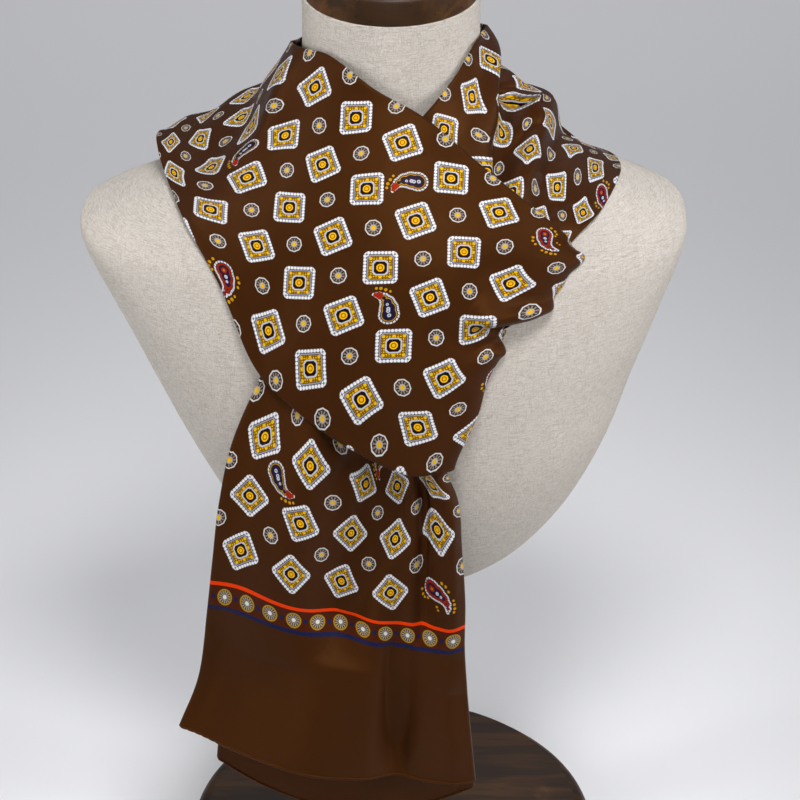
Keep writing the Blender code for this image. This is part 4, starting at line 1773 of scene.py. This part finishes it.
@dataclass
class Scarf:
    """The silk strip: five stretches laid over the form in the order that they were wound.

    The strip is a soft tube, so its wall is fuller by edge_puff at its folded edges, over
    puff_reach repeats.  Its stretches keep form_gap from the form and layer_gap from each other.
    """

    silk: bpy.types.Material
    form: BVHTree
    half_wall: float = 0.5
    edge_puff: float = 0.45
    puff_reach: float = 0.12
    form_gap: float = 1.3
    layer_gap: float = 1.9
    relax_rounds: int = 3
    stretches: dict[str, Stretch] = field(default_factory=dict)

    def lay_all(self) -> None:
        """Lay every stretch over what is under it."""
        on_form = [(self.form, self.form_gap)]
        under = self._lay(Stretch(
            "scarf_under_tail", UNDER_TAIL, UNDER_TAIL_FOLDS, UNDER_TAIL_CREASES,
            Facing.ALONG_FIRST,
        ), on_form)
        over_under = on_form + [(under.surface(), self.layer_gap)]
        band = self._lay(Stretch(
            "scarf_shoulder_band", SHOULDER_BAND, SHOULDER_BAND_FOLDS, SHOULDER_BAND_CREASES,
            Facing.ALONG_FIRST, SHOULDER_BAND_SLIPS, SHOULDER_BAND_PULLS, BAND_TURN, -1.0,
            open_share=0.8,
        ), over_under)
        tail = self._lay(Stretch(
            "scarf_front_tail", FRONT_TAIL, FRONT_TAIL_FOLDS, FRONT_TAIL_CREASES,
            Facing.ALONG_FIRST, FRONT_TAIL_SLIPS, FRONT_TAIL_PULLS, BAND_TURN, -1.0,
            seam_rows=10,
        ), over_under, first_line=band.points[-1])
        over_both = [
            (band.surface(), self.layer_gap), (tail.surface(), self.layer_gap), *on_form,
        ]
        wrap = self._lay(Stretch(
            "scarf_chest_wrap", CHEST_WRAP, CHEST_WRAP_FOLDS, CHEST_WRAP_CREASES,
            Facing.ACROSS_FIRST, CHEST_WRAP_SLIPS, CHEST_WRAP_PULLS,
        ), over_both)
        self._lay(Stretch(
            "scarf_neck_back", NECK_BACK, NECK_BACK_FOLDS, NECK_BACK_CREASES,
            Facing.ACROSS_FIRST,
        ), on_form, first_line=band.points[0], last_line=wrap.points[0])
        self._soften_seams()

    def _lay(
        self, stretch: Stretch, obstacles: Sequence[tuple[BVHTree, float]],
        first_line: Optional[np.ndarray] = None, last_line: Optional[np.ndarray] = None,
    ) -> Stretch:
        """Lay one stretch clear of its obstacles, meeting its neighbours' end lines.

        Args:
            stretch: The stretch to lay.
            obstacles: What it lies on, with the gaps to keep.
            first_line: Line that its first row meets.
            last_line: Line that its last row meets.

        Returns:
            The same stretch.
        """
        stretch.lay()
        stretch.keep_clear(obstacles)
        stretch.even_out(self.relax_rounds)
        self._ripple(stretch)
        if first_line is not None:
            stretch.ease_into(first_line, False)
        if last_line is not None:
            stretch.ease_into(last_line, True)
        stretch.keep_clear(obstacles)
        if first_line is not None:
            stretch.points[0] = first_line
        if last_line is not None:
            stretch.points[-1] = last_line
        self.stretches[stretch.name] = stretch
        return stretch

    @staticmethod
    def _ripple(stretch: Stretch) -> None:
        """Give the cloth a faint uneven hand, a fraction of a millimetre deep.

        Args:
            stretch: The stretch to ripple.
        """
        swell_depth, swell_rate, swell_seed = 0.55, 0.9, 3.0
        pucker_depth, pucker_rate, pucker_seed = 0.25, 2.1, 7.0
        height = np.array([
            [
                swell_depth * noise(Vector((u * swell_rate, v * swell_rate, swell_seed)))
                + pucker_depth * noise(Vector((u * pucker_rate, v * pucker_rate, pucker_seed)))
                for u, v in line
            ]
            for line in stretch.strip_places()
        ])
        stretch.points = stretch.points + stretch.normals() * height[..., None]

    def _soften_seams(self, reach: int = 9, rounds: int = 6) -> None:
        """Smooth the strip through the lines where two stretches meet.

        Args:
            reach: How many rows on each side move.
            rounds: How often they are smoothed.
        """
        names = self.stretches
        meetings = (
            ("scarf_shoulder_band", -1, "scarf_front_tail", 0),
            ("scarf_neck_back", -1, "scarf_chest_wrap", 0),
            ("scarf_neck_back", 0, "scarf_shoulder_band", 0),
        )
        for first_name, first_end, second_name, second_end in meetings:
            first, second = names[first_name], names[second_name]
            before = first.points if first_end == -1 else first.points[::-1]
            after = second.points if second_end == 0 else second.points[::-1]
            rows = np.concatenate([before[-reach - 2:], after[1:reach + 2]])
            for _ in range(rounds):
                rows[1:-1] += ((rows[:-2] + rows[2:]) / 2 - rows[1:-1]) * 0.5
            split = reach + 2
            before[-reach - 2:] = rows[:split]
            after[:reach + 2] = rows[split - 1:]

    def shell(self, stretch: Stretch) -> tuple[np.ndarray, list[list[int]], np.ndarray]:
        """Return points, faces and places of a closed thin shell over a stretch.

        Args:
            stretch: The stretch to cover.

        Returns:
            The shell's points, its faces and the (across, strip) place of each point.
        """
        grid, normals = stretch.points, stretch.normals()
        rows, columns = grid.shape[:2]
        t = np.linspace(0.0, 1.0, columns)
        from_edge = np.minimum(t, 1 - t) * (FAR_FOLD - SELVEDGE)
        half = self.half_wall + self.edge_puff * np.exp(-(from_edge / self.puff_reach) ** 2)
        shift = normals * half[None, :, None]
        boundary = self._boundary(rows, columns)
        outward = self._outward(grid, boundary)
        flat = grid.reshape(-1, 3)
        rim_half = np.tile(half, rows)[boundary]
        rim = flat[boundary] + outward * rim_half[:, None]
        points = np.concatenate([(grid + shift).reshape(-1, 3), (grid - shift).reshape(-1, 3), rim])
        places = stretch.strip_places().reshape(-1, 2)
        uv = np.concatenate([places, places, places[boundary]])
        forward = stretch.facing is Facing.ALONG_FIRST
        count = rows * columns
        faces = []
        for i in range(rows - 1):
            for j in range(columns - 1):
                a = i * columns + j
                top = [a, a + columns, a + columns + 1, a + 1]
                under = [k + count for k in reversed(top)]
                faces.append(top if forward else top[::-1])
                faces.append(under if forward else under[::-1])
        total = len(boundary)
        for k in range(total):
            a, b = int(boundary[k]), int(boundary[(k + 1) % total])
            rim_a, rim_b = 2 * count + k, 2 * count + (k + 1) % total
            upper, lower = [b, a, rim_a, rim_b], [rim_b, rim_a, a + count, b + count]
            faces.append(upper if forward else upper[::-1])
            faces.append(lower if forward else lower[::-1])
        return points, faces, uv

    @staticmethod
    def _boundary(rows: int, columns: int) -> np.ndarray:
        """List a grid's outer points in one loop.

        Args:
            rows: How many rows it has.
            columns: How many points a row has.

        Returns:
            Their indices.
        """
        down = [i * columns for i in range(rows)]
        along = [(rows - 1) * columns + j for j in range(1, columns)]
        up = [i * columns + columns - 1 for i in range(rows - 2, -1, -1)]
        back = list(range(columns - 2, 0, -1))
        return np.array(down + along + up + back)

    @staticmethod
    def _outward(grid: np.ndarray, boundary: np.ndarray) -> np.ndarray:
        """Find the way out of a grid, in its surface, at each outer point.

        Args:
            grid: Its points.
            boundary: Indices of the outer ones.

        Returns:
            Unit directions.
        """
        rows, columns = grid.shape[:2]
        lengthwise = unit(np.gradient(grid, axis=0))
        crosswise = unit(np.gradient(grid, axis=1))
        i, j = boundary // columns, boundary % columns
        out = np.zeros((len(boundary), 3))
        out -= crosswise[i, j] * (j == 0)[:, None]
        out += crosswise[i, j] * (j == columns - 1)[:, None]
        at_side = (j == 0) | (j == columns - 1)
        out -= lengthwise[i, j] * ((i == 0) & ~at_side)[:, None]
        out += lengthwise[i, j] * ((i == rows - 1) & ~at_side)[:, None]
        return unit(out)

    def build(self) -> dict[str, bpy.types.Object]:
        """Build every stretch as its own piece, with a rolled hem on each tail.

        Returns:
            The pieces by name.
        """
        self.lay_all()
        pieces = {}
        for name, stretch in self.stretches.items():
            points, faces, uv = self.shell(stretch)
            shown_name = name.replace("scarf_", "silk_")
            item = make_piece(shown_name, points, faces, self.silk, (UV_STRIP, uv))
            pieces[name] = dress(item, [name])
        hems = {
            name: [RolledHem(hem).build(self.stretches[name], self.silk)]
            for name, hem in HEMS.items()
        }
        for name, stretch in self.stretches.items():
            length = abs(stretch.rows[-1].along - stretch.rows[0].along) * REPEAT * MM
            width = (stretch.across[:, -1] - stretch.across[:, 0]).mean() * REPEAT * MM
            min(width, FLAT_WIDTH) * length * stretch.open_share
        return pieces


@dataclass
class RolledHem:
    """The hand-rolled end of a tail: a soft roll with slanted stitches sunk into it."""

    name: str
    radius: float = 1.25
    sides: int = 12
    step: float = 1.1
    stitch_pitch: float = 5.5
    stitch_depth: float = 0.32  # of the radius
    stitch_width: float = 0.16  # of half the pitch
    end_width: float = 0.15  # its root is the share of the radius left at the very ends

    def build(self, stretch: Stretch, silk: bpy.types.Material) -> bpy.types.Object:
        """Build the roll along the last row of a stretch.

        Args:
            stretch: The tail.
            silk: Its silk.

        Returns:
            The roll.
        """
        line = stretch.points[-1]
        steps = np.linalg.norm(np.diff(line, axis=0), axis=1)
        travelled = np.concatenate([[0.0], np.cumsum(steps)])
        length = travelled[-1]
        count = int(length / self.step) + 1
        at = np.linspace(0.0, length, count)
        path = self._spread(at, travelled, line)
        normals = unit(self._spread(at, travelled, stretch.normals()[-1]))
        heading = unit(np.gradient(path, axis=0))
        down = unit(np.cross(normals, heading)) * stretch.facing.value
        angle = 2 * math.pi * np.arange(self.sides) / self.sides
        from_stitch = 1 - np.abs((at / self.stitch_pitch) % 1.0 - 0.5) * 2
        swell = 1.0 - self.stitch_depth * np.exp(-(from_stitch / self.stitch_width) ** 2)
        ends = np.clip(np.minimum(at, length - at) / self.radius, self.end_width, 1.0)
        radius = self.radius * swell * np.sqrt(ends)
        rings = [
            path[i] + radius[i] * (
                np.cos(angle)[:, None] * normals[i] + np.sin(angle)[:, None] * down[i]
            )
            for i in range(count)
        ]
        places = stretch.strip_places()[-1]
        across = np.interp(at, travelled, places[:, 0])
        end = np.full(count * self.sides, places[0, 1])
        uv = np.stack([np.repeat(across, self.sides), end], axis=1)
        faces = ring_faces(count, self.sides)
        item = make_piece(self.name, np.concatenate(rings), faces, silk, (UV_STRIP, uv))
        builder = bmesh.new()
        builder.from_mesh(item.data)
        bmesh.ops.recalc_face_normals(builder, faces=builder.faces)
        builder.to_mesh(item.data)
        builder.free()
        return dress(item)

    @staticmethod
    def _spread(at: np.ndarray, travelled: np.ndarray, values: np.ndarray) -> np.ndarray:
        """Read vectors that are known along a line at other places on it.

        Args:
            at: The places.
            travelled: Where the vectors are known.
            values: The vectors.

        Returns:
            A vector for each place.
        """
        return np.stack([np.interp(at, travelled, column) for column in values.T], axis=1)


# ---- the studio ----------------------------------------------------------------------------


class Lamp(NamedTuple):
    """One soft light: place, aim and size in metres, power in watts, spread in degrees."""

    name: str
    place: tuple[float, float, float]
    aim: tuple[float, float, float]
    size: tuple[float, float]
    power: float
    spread: float


@dataclass
class Studio:
    """Plain pale floor, soft lights and the camera, with places and sizes in metres."""

    focal: float = 126.45  # mm
    camera_place: tuple[float, float, float] = (0.006, -1.79, 1.4015)
    camera_dip: float = 29.25  # degrees below the horizon
    sensor: float = 36.0  # mm
    camera_sees: float = 50.0  # m
    floor_size: float = 14.0
    floor_drop: float = 0.0002
    world_colour: tuple[float, ...] = (0.80, 0.82, 0.86, 1.0)
    world_strength: float = 0.22
    lamps: tuple[Lamp, ...] = (
        Lamp("top_box", (0.15, -0.95, 2.00), (0.0, -0.05, 0.50), (0.5, 0.4), 2.9, 60.0),
        Lamp("left_box", (-1.45, -0.55, 0.90), (-0.05, 0.0, 0.40), (0.4, 0.9), 2.3, 70.0),
        Lamp("right_box", (1.45, -0.50, 0.90), (0.05, 0.0, 0.40), (0.4, 0.9), 2.6, 70.0),
        Lamp("low_box", (0.0, -1.90, 0.50), (0.0, 0.0, 0.34), (0.8, 0.4), 0.6, 50.0),
        Lamp("back_box", (0.25, 1.30, 2.20), (0.0, 0.1, 0.45), (1.0, 0.6), 0.7, 70.0),
        Lamp("floor_box", (0.0, 2.2, 2.2), (0.0, 2.1, 0.0), (2.6, 1.2), 11.0, 110.0),
    )

    def build(self) -> None:
        """Build the floor, the world, the lights and the camera."""
        self._floor()
        self._world()
        for lamp in self.lamps:
            self._light(lamp)
        self._camera()

    def _floor(self) -> None:
        """Lay the floor under the base."""
        half = self.floor_size / 2 / MM
        points = np.array([[-half, -half, 0], [half, -half, 0], [half, half, 0], [-half, half, 0]])
        floor = make_piece("studio_floor", points, [[0, 1, 2, 3]], StudioPaper().make())
        floor.location.z = -self.floor_drop

    def _world(self) -> None:
        """Fill the room with soft pale light."""
        world = bpy.data.worlds.new("studio_world")
        world.use_nodes = True
        background = world.node_tree.nodes["Background"]
        background.inputs[0].default_value = self.world_colour
        background.inputs[1].default_value = self.world_strength
        bpy.context.scene.world = world
        bpy.context.scene.view_settings.view_transform = "Standard"

    def _light(self, lamp: Lamp) -> None:
        """Hang one rectangular soft light.

        Args:
            lamp: Its place, aim, size and power.
        """
        data = bpy.data.lights.new(lamp.name, "AREA")
        data.shape = "RECTANGLE"
        data.size, data.size_y = lamp.size
        data.energy = lamp.power
        data.spread = math.radians(lamp.spread)
        item = bpy.data.objects.new(lamp.name, data)
        item.location = lamp.place
        aim = Vector(lamp.aim) - Vector(lamp.place)
        item.rotation_euler = aim.to_track_quat("-Z", "Y").to_euler()
        item.visible_camera = False
        bpy.context.scene.collection.objects.link(item)

    def _camera(self) -> None:
        """Set the camera at the photograph's angle and framing."""
        data = bpy.data.cameras.new("camera")
        data.lens = self.focal
        data.sensor_width = self.sensor
        data.clip_end = self.camera_sees
        item = bpy.data.objects.new("camera", data)
        item.location = self.camera_place
        item.rotation_euler = (math.pi / 2 - math.radians(self.camera_dip), 0.0, 0.0)
        bpy.context.scene.collection.objects.link(item)
        bpy.context.scene.camera = item


def main() -> None:
    """Build the studio, the form, its stand and the scarf, and report each piece."""
    logging.basicConfig(level=logging.INFO, format="%(name)s: %(message)s")
    Studio().build()
    form = DressForm()
    form.build(NaturalLinen().make())
    cap_wood = StainedWood("cap_wood_finish", srgb(48, 29, 11), srgb(88, 55, 22))
    base_wood = StainedWood("base_wood_finish", srgb(34, 20, 9), srgb(64, 40, 17))
    pole_wood = StainedWood("pole_wood_finish", srgb(36, 22, 12), srgb(62, 40, 22), 0.40, 0.10)
    Stand().build(cap_wood.make(), base_wood.make(), pole_wood.make())
    Scarf(PrintedSilk().make(), form.surface()).build()


if __name__ == "__main__":
    main()
